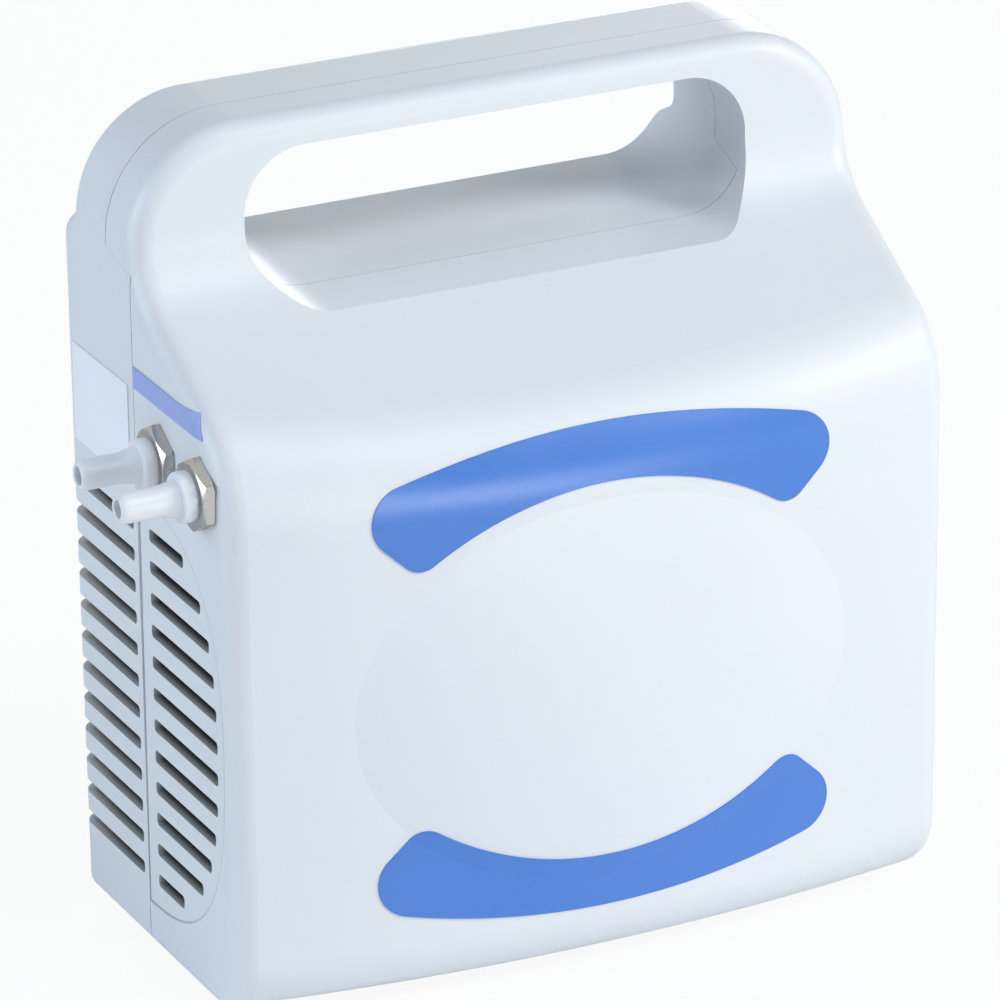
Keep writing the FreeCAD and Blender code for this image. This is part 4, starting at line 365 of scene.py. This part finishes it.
class HousingSettings(bpy.types.PropertyGroup):
    """Moulded shells and the films on them."""

    shell: FloatVectorProperty(
        name="Shells", description="Colour of the shells", subtype="COLOR", size=3,
        min=0.0, max=1.0, default=(0.79, 0.815, 0.84),
    )
    shell_roughness: FloatProperty(
        name="Shell roughness", description="Roughness of the shells", default=0.42,
        min=0.0, max=1.0, subtype="FACTOR",
    )
    grain: FloatProperty(
        name="Grain", description="Size of the moulded grain", default=0.0007,
        min=0.0001, max=0.01, unit="LENGTH",
    )
    half_width: FloatProperty(
        name="Half width", description="Half width of the shells at the louvres",
        default=0.10225, min=0.01, unit="LENGTH",
    )
    rear_round: FloatProperty(
        name="Rear round", description="Radius of the rear upright corners", default=0.0065,
        min=0.001, unit="LENGTH",
    )
    rear_lean: FloatProperty(
        name="Rear lean", description="Rear wall at the louvres from its furthest point",
        default=0.001, min=0.0, unit="LENGTH",
    )
    louvre_low: FloatProperty(
        name="Louvre bottom", description="Height of the lowest slot", default=0.0212,
        min=0.0, unit="LENGTH",
    )
    louvre_high: FloatProperty(
        name="Louvre top", description="Height of the top of the highest slot", default=0.1228,
        min=0.0, unit="LENGTH",
    )
    louvre_front: FloatProperty(
        name="Louvre front", description="Y of the front end of the longest slots",
        default=-0.0382, unit="LENGTH",
    )
    louvre_wrap: FloatProperty(
        name="Louvre wrap", description="Reach of the slots along the rear wall",
        default=0.0135, min=0.0, unit="LENGTH",
    )
    shade_depth: FloatProperty(
        name="Shade depth", description="Depth at which the slots are darkest", default=0.0034,
        min=0.001, unit="LENGTH",
    )
    shade_border: FloatProperty(
        name="Shade border", description="Width of the soft border of the slots' shade",
        default=0.0005, min=0.0001, unit="LENGTH",
    )
    # Colour of the shade painted deep in the slots and along the panel's outline.
    painted_shade: FloatVectorProperty(
        name="Slot", description="Colour deep in the slots", subtype="COLOR", size=3,
        min=0.0, max=1.0, default=(0.06, 0.064, 0.068),
    )
    seam_y: FloatProperty(
        name="Seam", description="Y of the parting plane", default=0.009036, unit="LENGTH",
    )
    panel_z: FloatProperty(
        name="Panel height", description="Height of the louvre panel's widest level",
        default=0.0755, unit="LENGTH",
    )
    panel_reach: FloatProperty(
        name="Panel reach", description="Reach of the louvre panel in front of the seam",
        default=0.0505, min=0.01, unit="LENGTH",
    )
    panel_upper: FloatProperty(
        name="Panel upper part", description="Height of the panel above its widest level",
        default=0.055, min=0.01, unit="LENGTH",
    )
    panel_lower: FloatProperty(
        name="Panel lower part", description="Height of the panel below its widest level",
        default=0.060, min=0.01, unit="LENGTH",
    )
    panel_power: FloatProperty(
        name="Panel power", description="Power of the panel's rounded outline", default=2.6,
        min=2.0,
    )
    panel_shadow_line: FloatProperty(
        name="Panel line", description="Width of the outline as a share of the panel",
        default=0.022, min=0.0,
    )
    # How dark the painted shadow line along the panel's outline is.
    panel_line_shade: FloatProperty(
        name="Panel line shade", description="How dark the outline is", default=0.35,
        min=0.0, max=1.0, subtype="FACTOR",
    )
    panel_skin: FloatProperty(
        name="Panel skin", description="Depth of the wall that takes the outline",
        default=0.002, min=0.0005, unit="LENGTH",
    )
    label: FloatVectorProperty(
        name="Label", description="Colour of both front labels", subtype="COLOR", size=3,
        min=0.0, max=1.0, default=(0.06, 0.205, 0.64),
    )
    plate: FloatVectorProperty(
        name="Plate", description="Colour of the bare plate", subtype="COLOR", size=3,
        min=0.0, max=1.0, default=(0.93, 0.96, 1.0),
    )
    stripe: FloatVectorProperty(
        name="Stripe", description="Colour of the side stripe", subtype="COLOR", size=3,
        min=0.0, max=1.0, default=(0.33, 0.42, 0.80),
    )
    stripe_trim: FloatProperty(
        name="Stripe trim", description="Stripe's lower front corner from the flat film's end",
        default=0.0072, min=0.0, unit="LENGTH",
    )
    stripe_slant: FloatProperty(
        name="Stripe slant", description="Stripe's upper front corner behind its lower one",
        default=0.0046, unit="LENGTH",
    )
    film_thickness: FloatProperty(
        name="Film thickness", description="Thickness of the stripe's film", default=0.0003,
        min=0.00005, unit="LENGTH",
    )
    film_gap: FloatProperty(
        name="Film gap", description="Layer of glue under the stripe's film", default=0.00008,
        min=0.0, unit="LENGTH",
    )


class FittingSettings(bpy.types.PropertyGroup):
    """Hose barbs, nuts, inlet and switch."""

    barb: FloatVectorProperty(
        name="Barb", description="Tint of the milky barbs", subtype="COLOR", size=3,
        min=0.0, max=1.0, default=(0.90, 0.92, 0.95),
    )
    barb_length: FloatProperty(
        name="Barb length", description="Length of a barb outside its nut", default=0.0196,
        min=0.005, unit="LENGTH",
    )
    barb_root: FloatProperty(
        name="Barb root", description="Length of a barb inside its nut", default=0.006,
        min=0.001, unit="LENGTH",
    )
    root_radius: FloatProperty(
        name="Root radius", description="Radius of a barb inside its nut", default=0.0034,
        min=0.001, unit="LENGTH",
    )
    barb_radius: FloatProperty(
        name="Barb radius", description="Radius of the straight end", default=0.004,
        min=0.001, unit="LENGTH",
    )
    barb_straight: FloatProperty(
        name="Straight end", description="Length of the straight end", default=0.0112,
        min=0.001, unit="LENGTH",
    )
    barb_taper: FloatProperty(
        name="Taper", description="Radius at the collar as a multiple of the straight end's",
        default=1.17, min=1.0,
    )
    bore: FloatProperty(
        name="Bore", description="Radius of the bore", default=0.0024, min=0.0005,
        unit="LENGTH",
    )
    bore_edge: FloatProperty(
        name="Bore edge", description="Width of the bore's bevelled edge", default=0.0003,
        min=0.0001, unit="LENGTH",
    )
    collar_radius: FloatProperty(
        name="Collar radius", description="Radius of the collar at the nut", default=0.0066,
        min=0.001, unit="LENGTH",
    )
    collar_length: FloatProperty(
        name="Collar length", description="Length of the collar", default=0.0036,
        min=0.0005, unit="LENGTH",
    )
    nut: FloatVectorProperty(
        name="Nut", description="Colour of the plated nuts", subtype="COLOR", size=3,
        min=0.0, max=1.0, default=(0.52, 0.50, 0.47),
    )
    black: FloatVectorProperty(
        name="Black plastic", description="Colour of the inlet and the switch", subtype="COLOR",
        size=3, min=0.0, max=1.0, default=(0.018, 0.018, 0.02),
    )
    pin: FloatVectorProperty(
        name="Pin", description="Colour of the pins and tabs", subtype="COLOR", size=3,
        min=0.0, max=1.0, default=(0.62, 0.60, 0.55),
    )
    inlet_well: FloatProperty(
        name="Well depth", description="Depth of the inlet's well", default=0.0185,
        min=0.001, unit="LENGTH",
    )
    inlet_depth: FloatProperty(
        name="Inlet depth", description="Depth of the inlet's body", default=0.0217,
        min=0.001, unit="LENGTH",
    )
    switch_depth: FloatProperty(
        name="Switch depth", description="Depth of the switch's body", default=0.0167,
        min=0.001, unit="LENGTH",
    )
    mark: FloatProperty(
        name="Mark", description="Height of the marks on the rocker", default=0.0032,
        min=0.001, max=0.006, unit="LENGTH",
    )
    mark_line: FloatProperty(
        name="Mark line", description="Width of the rocker's line", default=0.0006,
        min=0.0002, unit="LENGTH",
    )
    mark_ring: FloatProperty(
        name="Mark ring", description="Width of the rocker's ring", default=0.0005,
        min=0.0002, unit="LENGTH",
    )
    paint: FloatProperty(
        name="Paint", description="Thickness of the paint of the marks", default=0.00006,
        min=0.00001, unit="LENGTH",
    )


class StudioSettings(bpy.types.PropertyGroup):
    """Lamps, floor and camera."""

    key: FloatProperty(
        name="Key", description="Power of the lamp at the front right", default=45.0, min=0.0,
    )
    side: FloatProperty(
        name="Side", description="Power of the cool lamp at the left", default=31.0, min=0.0,
    )
    top: FloatProperty(
        name="Top", description="Power of the lamp overhead", default=6.0, min=0.0,
    )
    front: FloatProperty(
        name="Front", description="Power of the cool lamp in front", default=16.0, min=0.0,
    )
    bounce: FloatProperty(
        name="Bounce", description="Power of the low lamp in front", default=3.0, min=0.0,
    )
    rear: FloatProperty(
        name="Rear", description="Power of the lamp behind", default=9.0, min=0.0,
    )
    room: FloatProperty(
        name="Room", description="Strength of the room's light", default=0.10, min=0.0,
    )
    backdrop: FloatProperty(
        name="Backdrop", description="Strength of the white that gloss and glass show",
        default=0.8, min=0.0, max=1.0,
    )
    floor_glow: FloatProperty(
        name="Floor glow", description="Share of plain white in the floor that the camera sees",
        default=0.92, min=0.0, max=1.0, subtype="FACTOR",
    )
    focal: FloatProperty(
        name="Focal length", description="Focal length on a 36 mm frame, in millimetres",
        default=274.54, min=1.0,
    )


def chosen(name):
    """The scene's values of one settings group."""
    return getattr(bpy.context.scene, name)


class PUMP_OT_camera(bpy.types.Operator):
    """Place the camera"""

    bl_idname = "pump.camera"
    bl_label = "Place the camera"

    def execute(self, context):
        right = Vector(CAMERA_RIGHT)
        up = Vector(CAMERA_UP)
        back = right.cross(up).normalized()
        bpy.ops.object.camera_add(location=CAMERA_PLACE)
        camera = bpy.context.object
        camera.name = "photo_camera"
        turn = Matrix((right, up, back)).transposed()
        camera.rotation_euler = turn.to_euler()
        camera.data.sensor_width = 36.0
        camera.data.lens = chosen("pump_studio").focal
        camera.data.clip_end = 20.0
        bpy.context.scene.camera = camera
        return {"FINISHED"}


class PUMP_OT_housing(bpy.types.Operator):
    """Finish both moulded shells"""

    bl_idname = "pump.housing"
    bl_label = "Finish the shells"

    def execute(self, context):
        look = chosen("pump_housing")
        shell = moulded(
            "Housing plastic", tuple(look.shell), look.shell_roughness, look.grain,
            depth=0.000012,
        )
        line = panel_shadow_line(shell, look)
        # Painted shadow line along the outline of the louvre panel.
        shell.tint(line * look.panel_line_shade, tuple(look.painted_shade))
        # Painted shade: the louvre slots darken with depth behind the outer wall.
        shell.tint(louvre_shade(shell, look), tuple(look.painted_shade))
        painted(shell, "front_shell", "rear_shell")
        return {"FINISHED"}


class PUMP_OT_films(bpy.types.Operator):
    """Finish the bare labels and the plate, and make the stripe that follows the wall"""

    bl_idname = "pump.films"
    bl_label = "Finish the films"

    def execute(self, context):
        look = chosen("pump_housing")
        painted(printed("Label film", tuple(look.label)), "upper_label", "lower_label")
        stripe = printed("Stripe film", tuple(look.stripe))
        painted(stripe, "side_stripe")
        self.wrapped_stripe(look, stripe)
        painted(printed("Plate film", tuple(look.plate), roughness=0.35), "rating_plate")
        return {"FINISHED"}

    def wrapped_stripe(self, look, film):
        """Stripe that bends with the wall where its front end meets the rounded corner."""
        low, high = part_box("side_stripe")
        middle = (low + high) / 2
        clear_selection()
        # The grid starts 3 mm outside the wall, and Shrinkwrap then lays it on.
        bpy.ops.mesh.primitive_grid_add(
            x_subdivisions=8, y_subdivisions=60, size=1.0, rotation=(0, -math.pi / 2, 0),
            location=(low.x - 0.003, middle.y, middle.z),
        )
        piece = bpy.context.object
        piece.name = "side_stripe_film"
        bpy.ops.object.transform_apply(location=True, rotation=True, scale=True)
        edit_all()
        size = (1.0, high.y - low.y, high.z - low.z)
        bpy.ops.transform.resize(value=size, center_override=(low.x, middle.y, middle.z))
        ahead = Vector((0, low.z - high.z, look.stripe_slant)).normalized()
        corner = Vector((low.x, low.y + look.stripe_trim, low.z))
        bpy.ops.mesh.bisect(plane_co=corner, plane_no=ahead, clear_outer=True)
        leave_edit()
        applied(
            piece, "SHRINKWRAP", wrap_method="PROJECT", target=NODES["front_shell"],
            use_project_x=True, use_negative_direction=False, use_positive_direction=True,
        )
        applied(piece, "SOLIDIFY", thickness=look.film_thickness, offset=1.0)
        edit_all()
        bpy.ops.transform.translate(value=(-look.film_gap, 0, 0))
        bpy.ops.mesh.normals_make_consistent(inside=False)
        leave_edit()
        bpy.ops.object.shade_smooth_by_angle(angle=math.radians(30))
        piece.data.materials.append(film.material)
        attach(piece, "housing")
        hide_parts("side_stripe")


class PUMP_OT_barbs(bpy.types.Operator):
    """Make both milky hose barbs, each with its collar, taper and bore"""

    bl_idname = "pump.barbs"
    bl_label = "Make the hose barbs"

    def execute(self, context):
        look = chosen("pump_fittings")
        milky = Finish(
            "Barb plastic", tuple(look.barb), roughness=0.3, Subsurface_Weight=0.55,
            Subsurface_Scale=0.004, Subsurface_Radius=(1.0, 1.0, 1.0),
        )
        cloud = milky.noise(size=0.006)
        milky.coloured(cloud, tuple(look.barb), dimmed(look.barb, 0.94))
        milky.set("Roughness", 0.25 + cloud * 0.12)
        milky.bumped(milky.noise(size=0.0015), depth=0.000015)
        self.body(look, milky, "intake_barb", "intake_barb_body")
        self.body(look, milky, "exhaust_barb", "exhaust_barb_body")
        painted(milky, "intake_barb", "exhaust_barb")
        return {"FINISHED"}

    def body(self, look, milky, node, name):
        """One barb: a ring extruded along the bore, round the mouth and back to the nut."""
        low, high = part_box(node)
        centre = (low + high) / 2
        nut = high.x - look.barb_root
        rings = self.profile(look)
        clear_selection()
        bpy.ops.mesh.primitive_circle_add(
            vertices=64, radius=rings[0][1], rotation=(0, math.pi / 2, 0),
            location=(nut - rings[0][0], centre.y, centre.z),
        )
        piece = bpy.context.object
        piece.name = name
        bpy.ops.object.transform_apply(location=True, rotation=True, scale=True)
        edit_all()
        for (before, old), (along, radius) in zip(rings, rings[1:]):
            move = {"value": (before - along, 0, 0)}
            bpy.ops.mesh.extrude_region_move(TRANSFORM_OT_translate=move)
            share = radius / old
            spot = (nut - along, centre.y, centre.z)
            bpy.ops.transform.resize(value=(1, share, share), center_override=spot)
        bpy.ops.mesh.select_all(action="SELECT")
        bpy.ops.mesh.remove_doubles(threshold=0.00001)
        bpy.ops.mesh.normals_make_consistent(inside=False)
        leave_edit()
        bpy.ops.object.shade_smooth_by_angle(angle=math.radians(35))
        piece.data.materials.append(milky.material)
        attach(piece, "housing")
        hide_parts(node)

    def profile(self, look):
        """Rings (distance from the nut, radius) along the bore, the outside and back."""
        end = look.barb_length
        face = look.collar_length
        taper = look.barb_radius * look.barb_taper
        bore = [
            (-look.barb_root, look.bore),
            (end - look.bore_edge, look.bore),
            (end, look.bore + look.bore_edge),
        ]
        mouth = [(end - back, look.barb_radius - inward) for back, inward in BARB_MOUTH]
        straight = [(end - look.barb_straight, look.barb_radius)]
        foot = [(face + ahead, taper + outward) for ahead, outward in COLLAR_FOOT]
        collar = [(face - back, look.collar_radius - inward) for back, inward in COLLAR_EDGE]
        root = [
            (0.0, look.collar_radius),
            (0.0, look.root_radius),
            (-look.barb_root, look.root_radius),
            (-look.barb_root, look.bore),
        ]
        return bore + mouth + straight + foot + collar + root


class PUMP_OT_fittings(bpy.types.Operator):
    """Finish the nuts of the hose barbs and what is behind them"""

    bl_idname = "pump.fittings"
    bl_label = "Finish the fittings"

    def execute(self, context):
        look = chosen("pump_fittings")
        nut = turned_metal(
            "Nut plating", tuple(look.nut), roughness=0.24, groove=0.0005,
            across=(0.1, 1.0, 1.0),
        )
        painted(nut, "panel_nuts")
        brass = turned_metal("Fitting brass", (0.72, 0.50, 0.22), roughness=0.3)
        painted(brass, "bulkhead_fittings")
        hose = soft_rubber("Hose vinyl", (0.62, 0.65, 0.66), roughness=0.35)
        painted(hose, "intake_hose", "exhaust_hose")
        black = moulded(
            "Black nylon", tuple(look.black), roughness=0.45, grain=0.0006, depth=0.00003,
        )
        painted(black, "port_elbows")
        return {"FINISHED"}


class PUMP_OT_inlet(bpy.types.Operator):
    """Finish the mains inlet and the rocker switch"""

    bl_idname = "pump.inlet"
    bl_label = "Finish the inlet and switch"

    def execute(self, context):
        look = chosen("pump_fittings")
        body = moulded(
            "Inlet plastic", tuple(look.black), roughness=0.5, grain=0.0005, depth=0.00003,
        )
        tabs = self.behind(body, "mains_inlet", look.inlet_depth)
        self.metal(body, look, tabs.most(self.pins(body, look)))
        painted(body, "mains_inlet")
        bezel = moulded(
            "Bezel plastic", tuple(look.black), roughness=0.45, grain=0.0005, depth=0.00003,
        )
        self.metal(bezel, look, self.behind(bezel, "switch_bezel", look.switch_depth))
        painted(bezel, "switch_bezel")
        rocker = moulded(
            "Rocker plastic", tuple(look.black), roughness=0.25, grain=0.0005, depth=0.000008,
        )
        painted(rocker, "switch_rocker")
        return {"FINISHED"}

    def metal(self, finish, look, mask):
        """Turn the plastic to bare metal where a mask is one."""
        finish.tint(mask, tuple(look.pin))
        finish.set("Metallic", mask)

    def behind(self, finish, node, depth):
        """One on the tabs that stand behind a body of so much depth."""
        low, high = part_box(node)
        x, y, z = finish.xyz()
        return 1.0 - y.ramped(high.y - depth - MASK_EDGE, high.y - depth)

    def pins(self, finish, look):
        """One on the three pins in the inlet's well."""
        low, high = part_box("mains_inlet")
        middle = (low + high) / 2
        x, y, z = finish.xyz()
        well = high.y - look.inlet_well
        inside = y.ramped(well, well + MASK_EDGE)
        half_width, half_height = PIN_HALF
        masks = []
        for across, up in PIN_PLACES:
            beside = abs(x - (middle.x + across)).ramped(half_width, half_width + MASK_EDGE)
            above = abs(z - (middle.z + up)).ramped(half_height, half_height + MASK_EDGE)
            masks.append(inside * (1.0 - beside) * (1.0 - above))
        return masks[0].most(masks[1]).most(masks[2])


class PUMP_OT_rocker_marks(bpy.types.Operator):
    """Add the line and the ring printed on the rocker"""

    bl_idname = "pump.rocker_marks"
    bl_label = "Mark the rocker"

    def execute(self, context):
        look = chosen("pump_fittings")
        white = printed("Mark paint", (0.85, 0.85, 0.83), roughness=0.4)
        lower, upper = self.facets()
        self.mark(look, white, "rocker_ring", self.ring, lower)
        self.mark(look, white, "rocker_line", self.line, upper)
        return {"FINISHED"}

    def mark(self, look, white, name, outline, facet):
        """Lay one outline on a facet of the rocker as a thin coat of paint."""
        point, normal = facet
        low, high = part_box("switch_rocker")
        clear_selection()
        outline(look)
        mark = bpy.context.object
        mark.name = name
        applied(mark, "SOLIDIFY", thickness=look.paint, offset=1.0)
        turn = normal.to_track_quat("Z", "Y").to_matrix().to_4x4()
        place = Vector(((low.x + high.x) / 2, point.y, point.z)) + normal * look.paint / 2
        mark.data.transform(Matrix.Translation(place) @ turn)
        mark.data.materials.append(white.material)
        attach(mark, "rocker")

    def ring(self, look):
        """Flat ring at the origin."""
        bpy.ops.mesh.primitive_circle_add(
            vertices=32, radius=look.mark / 2, fill_type="NGON", location=(0, 0, 0)
        )
        edit_all()
        bpy.ops.mesh.inset(thickness=look.mark_ring)
        bpy.ops.mesh.delete(type="FACE")
        leave_edit()

    def line(self, look):
        """Flat line at the origin."""
        bpy.ops.mesh.primitive_plane_add(size=1.0, location=(0, 0, 0))
        edit_all()
        bpy.ops.transform.resize(value=(look.mark_line, look.mark, 1.0))
        bpy.ops.mesh.subdivide(number_cuts=3)
        leave_edit()

    def facets(self):
        """Centre and normal of the rocker's lower and upper front facets."""
        front = [p for p in NODES["switch_rocker"].data.polygons if p.normal.y > 0.8]
        middle = sum(p.center.z for p in front) / len(front)
        found = []
        for sign in (-1, 1):
            facet = [p for p in front if (p.center.z - middle) * sign > 0]
            area = sum(p.area for p in facet)
            centre = sum((p.center * p.area for p in facet), Vector()) / area
            normal = sum((p.normal * p.area for p in facet), Vector()).normalized()
            found.append((centre, normal))
        return found


class PUMP_OT_motor(bpy.types.Operator):
    """Finish the motor"""

    bl_idname = "pump.motor"
    bl_label = "Finish the motor"

    def execute(self, context):
        steel = turned_metal("Ground steel", (0.60, 0.60, 0.62), roughness=0.22)
        painted(
            steel, "motor_shaft", "shaft_outer_races", "shaft_inner_races",
            "shaft_bearing_balls", "rod_inner_race", "rod_outer_race", "rod_bearing_balls",
            "eccentric",
        )
        sheets = banded(
            "Laminations", (0.33, 0.34, 0.36), gap=(0.10, 0.10, 0.11), pitch=0.001,
            stretch=(1.0, 0.0, 0.0), metallic=1.0, roughness=0.45, depth=0.00006,
        )
        painted(sheets, "stator_core", "rotor_core")
        wire = banded(
            "Winding wire", (0.62, 0.24, 0.10), gap=(0.20, 0.06, 0.03), pitch=0.0011,
            stretch=(0.4, 1.0, 1.0), metallic=0.8, roughness=0.38, depth=0.0002,
        )
        painted(wire, "stator_windings")
        cast = cast_metal("Cast aluminium", (0.60, 0.61, 0.63), roughness=0.45)
        painted(cast, "end_bell", "rotor_rings")
        fan = moulded(
            "Fan plastic", (0.03, 0.03, 0.034), roughness=0.5, grain=0.0006, depth=0.00003,
        )
        painted(fan, "left_fan", "right_fan")
        can = turned_metal(
            "Drawn can", (0.66, 0.67, 0.69), roughness=0.3, groove=0.0008,
            across=(0.05, 1.0, 1.0),
        )
        painted(can, "run_capacitor")
        return {"FINISHED"}


class PUMP_OT_pump_end(bpy.types.Operator):
    """Finish the crankcase, piston, valves and head"""

    bl_idname = "pump.pump_end"
    bl_label = "Finish the pump end"

    def execute(self, context):
        cast = cast_metal("Cast pump body", (0.58, 0.59, 0.61), roughness=0.5)
        painted(cast, "crankcase", "cylinder_head", "connecting_rod")
        milled = turned_metal("Milled aluminium", (0.68, 0.69, 0.71), roughness=0.28)
        painted(milled, "valve_plate", "seal_retainer")
        sleeve = turned_metal(
            "Anodised sleeve", (0.40, 0.41, 0.42), roughness=0.3, across=(1.0, 1.0, 0.05),
        )
        painted(sleeve, "cylinder_sleeve")
        reed = turned_metal("Spring steel", (0.62, 0.64, 0.68), roughness=0.18)
        painted(reed, "intake_reed", "exhaust_reed")
        seal = moulded(
            "Filled seal", (0.36, 0.29, 0.20), roughness=0.45, grain=0.0004, depth=0.00001,
            mottle=0.15,
        )
        painted(seal, "cup_seal")
        painted(soft_rubber("Gasket rubber", (0.03, 0.03, 0.033)), "head_gasket")
        return {"FINISHED"}


class PUMP_OT_mounting(bpy.types.Operator):
    """Finish the screws, the base plate and all rubber"""

    bl_idname = "pump.mounting"
    bl_label = "Finish the mounting"

    def execute(self, context):
        zinc = turned_metal(
            "Zinc plating", (0.62, 0.63, 0.64), roughness=0.3, groove=0.0006,
            across=(1.0, 1.0, 1.0),
        )
        painted(
            zinc, "shell_screws", "foot_screws", "tie_bolts", "retainer_screw", "reed_screws",
            "head_screws", "base_screws", "isolator_screws", "set_screw", "capacitor_clip",
            "base_plate",
        )
        painted(soft_rubber("Foot rubber", (0.022, 0.022, 0.024)), "rubber_feet", "isolators")
        return {"FINISHED"}


class PUMP_OT_studio(bpy.types.Operator):
    """Add the floor, the lamps and the room's light"""

    bl_idname = "pump.studio"
    bl_label = "Build the studio"

    def execute(self, context):
        look = chosen("pump_studio")
        self.floor(look)
        self.lamps(look)
        self.room(look)
        bpy.context.scene.view_settings.view_transform = "Standard"
        return {"FINISHED"}

    def floor(self, look):
        """Pale floor that the camera sees as nearly white and that keeps the shadow."""
        clear_selection()
        # A little under the feet, so that no two faces lie in one plane.
        bpy.ops.mesh.primitive_plane_add(size=6.0, location=(0, 0, -0.0004))
        floor = bpy.context.object
        floor.name = "studio_floor"
        bpy.ops.object.transform_apply(location=True)
        pale = Finish("Studio floor", (0.92, 0.93, 0.94), roughness=0.6)
        pale.set("Roughness", 0.55 + pale.noise(size=0.4) * 0.1)
        seen = pale.node("ShaderNodeLightPath", output="Is Camera Ray")
        glow = pale.node("ShaderNodeEmission", {}, {"Color": (1, 1, 1), "Strength": 1.0})
        surface = Socket(pale, pale.shader.outputs[0])
        shaders = [seen * look.floor_glow, surface, glow]
        pale.show(pale.node("ShaderNodeMixShader", {}, shaders))
        floor.data.materials.append(pale.material)

    def lamps(self, look):
        """Square lamps that all face the middle of the pump."""
        for name, power, tint, size, place in (
            ("key_lamp", look.key, (1.0, 0.985, 0.96), 1.0, (2.15, -1.6, 1.5)),
            ("side_lamp", look.side, (0.74, 0.86, 1.0), 1.2, (-2.4, 0.3, 0.8)),
            ("top_lamp", look.top, (0.80, 0.90, 1.0), 1.0, (-0.2, -0.1, 2.3)),
            ("front_lamp", look.front, (0.76, 0.88, 1.0), 0.8, (0.5, -1.5, 2.2)),
            ("bounce_lamp", look.bounce, (0.97, 0.98, 1.0), 0.4, (0.2, -0.9, 0.02)),
            ("rear_lamp", look.rear, (0.96, 0.98, 1.0), 0.5, (1.3, 2.2, 0.3)),
        ):
            bpy.ops.object.light_add(type="AREA", location=place)
            lamp = bpy.context.object
            lamp.name = name
            lamp.data.energy = power
            lamp.data.color = tint
            lamp.data.shape = "SQUARE"
            lamp.data.size = size
            aim = Vector(LAMP_AIM) - Vector(place)
            lamp.rotation_euler = aim.to_track_quat("-Z", "Y").to_euler()

    def room(self, look):
        """Cool room light, and a white backdrop for the camera, gloss and glass."""
        world = bpy.data.worlds.new("Studio room")
        bpy.context.scene.world = world
        sky = Nodes(world)
        plain = sky.tree.nodes["Background"]
        sky.fill(plain.inputs["Color"], (0.88, 0.94, 1.0))
        sky.fill(plain.inputs["Strength"], look.room)
        seen, mirrored, through = (
            sky.node("ShaderNodeLightPath", output=ray)
            for ray in ("Is Camera Ray", "Is Glossy Ray", "Is Transmission Ray")
        )
        strength = seen * (1.0 - look.backdrop) + look.backdrop
        values = {"Color": (1.0, 1.0, 1.0), "Strength": strength}
        white = sky.node("ShaderNodeBackground", {}, values)
        shaders = [seen.most(mirrored).most(through), Socket(sky, plain.outputs[0]), white]
        sky.show(sky.node("ShaderNodeMixShader", {}, shaders))


class PUMP_PT_panel(bpy.types.Panel):
    """Steps of the vacuum pump's looks"""

    bl_idname = "PUMP_PT_panel"
    bl_label = "Vacuum pump"
    bl_space_type = "VIEW_3D"
    bl_region_type = "UI"
    bl_category = "Vacuum pump"

    def draw(self, context):
        for name in GROUPS:
            group = chosen(name)
            for key in group.bl_rna.properties.keys():
                if key not in ("rna_type", "name"):
                    self.layout.prop(group, key)
        for step in STEPS:
            self.layout.operator(step.bl_idname)


GROUPS = {
    "pump_housing": HousingSettings,
    "pump_fittings": FittingSettings,
    "pump_studio": StudioSettings,
}
STEPS = (
    PUMP_OT_camera,
    PUMP_OT_housing,
    PUMP_OT_films,
    PUMP_OT_barbs,
    PUMP_OT_fittings,
    PUMP_OT_inlet,
    PUMP_OT_rocker_marks,
    PUMP_OT_motor,
    PUMP_OT_pump_end,
    PUMP_OT_mounting,
    PUMP_OT_studio,
)


def register():
    """Register the settings, the steps and the panel."""
    for name, group in GROUPS.items():
        bpy.utils.register_class(group)
        setattr(bpy.types.Scene, name, PointerProperty(type=group))
    for step in STEPS + (PUMP_PT_panel,):
        bpy.utils.register_class(step)


def unregister():
    """Take the panel, the steps and the settings away."""
    for step in reversed(STEPS + (PUMP_PT_panel,)):
        bpy.utils.unregister_class(step)
    for name, group in GROUPS.items():
        delattr(bpy.types.Scene, name)
        bpy.utils.unregister_class(group)


def main():
    """Run every step."""
    register()
    bpy.ops.pump.camera()
    bpy.ops.pump.housing()
    bpy.ops.pump.films()
    bpy.ops.pump.barbs()
    bpy.ops.pump.fittings()
    bpy.ops.pump.inlet()
    bpy.ops.pump.rocker_marks()
    bpy.ops.pump.motor()
    bpy.ops.pump.pump_end()
    bpy.ops.pump.mounting()
    bpy.ops.pump.studio()


if __name__ == "__main__":
    main()
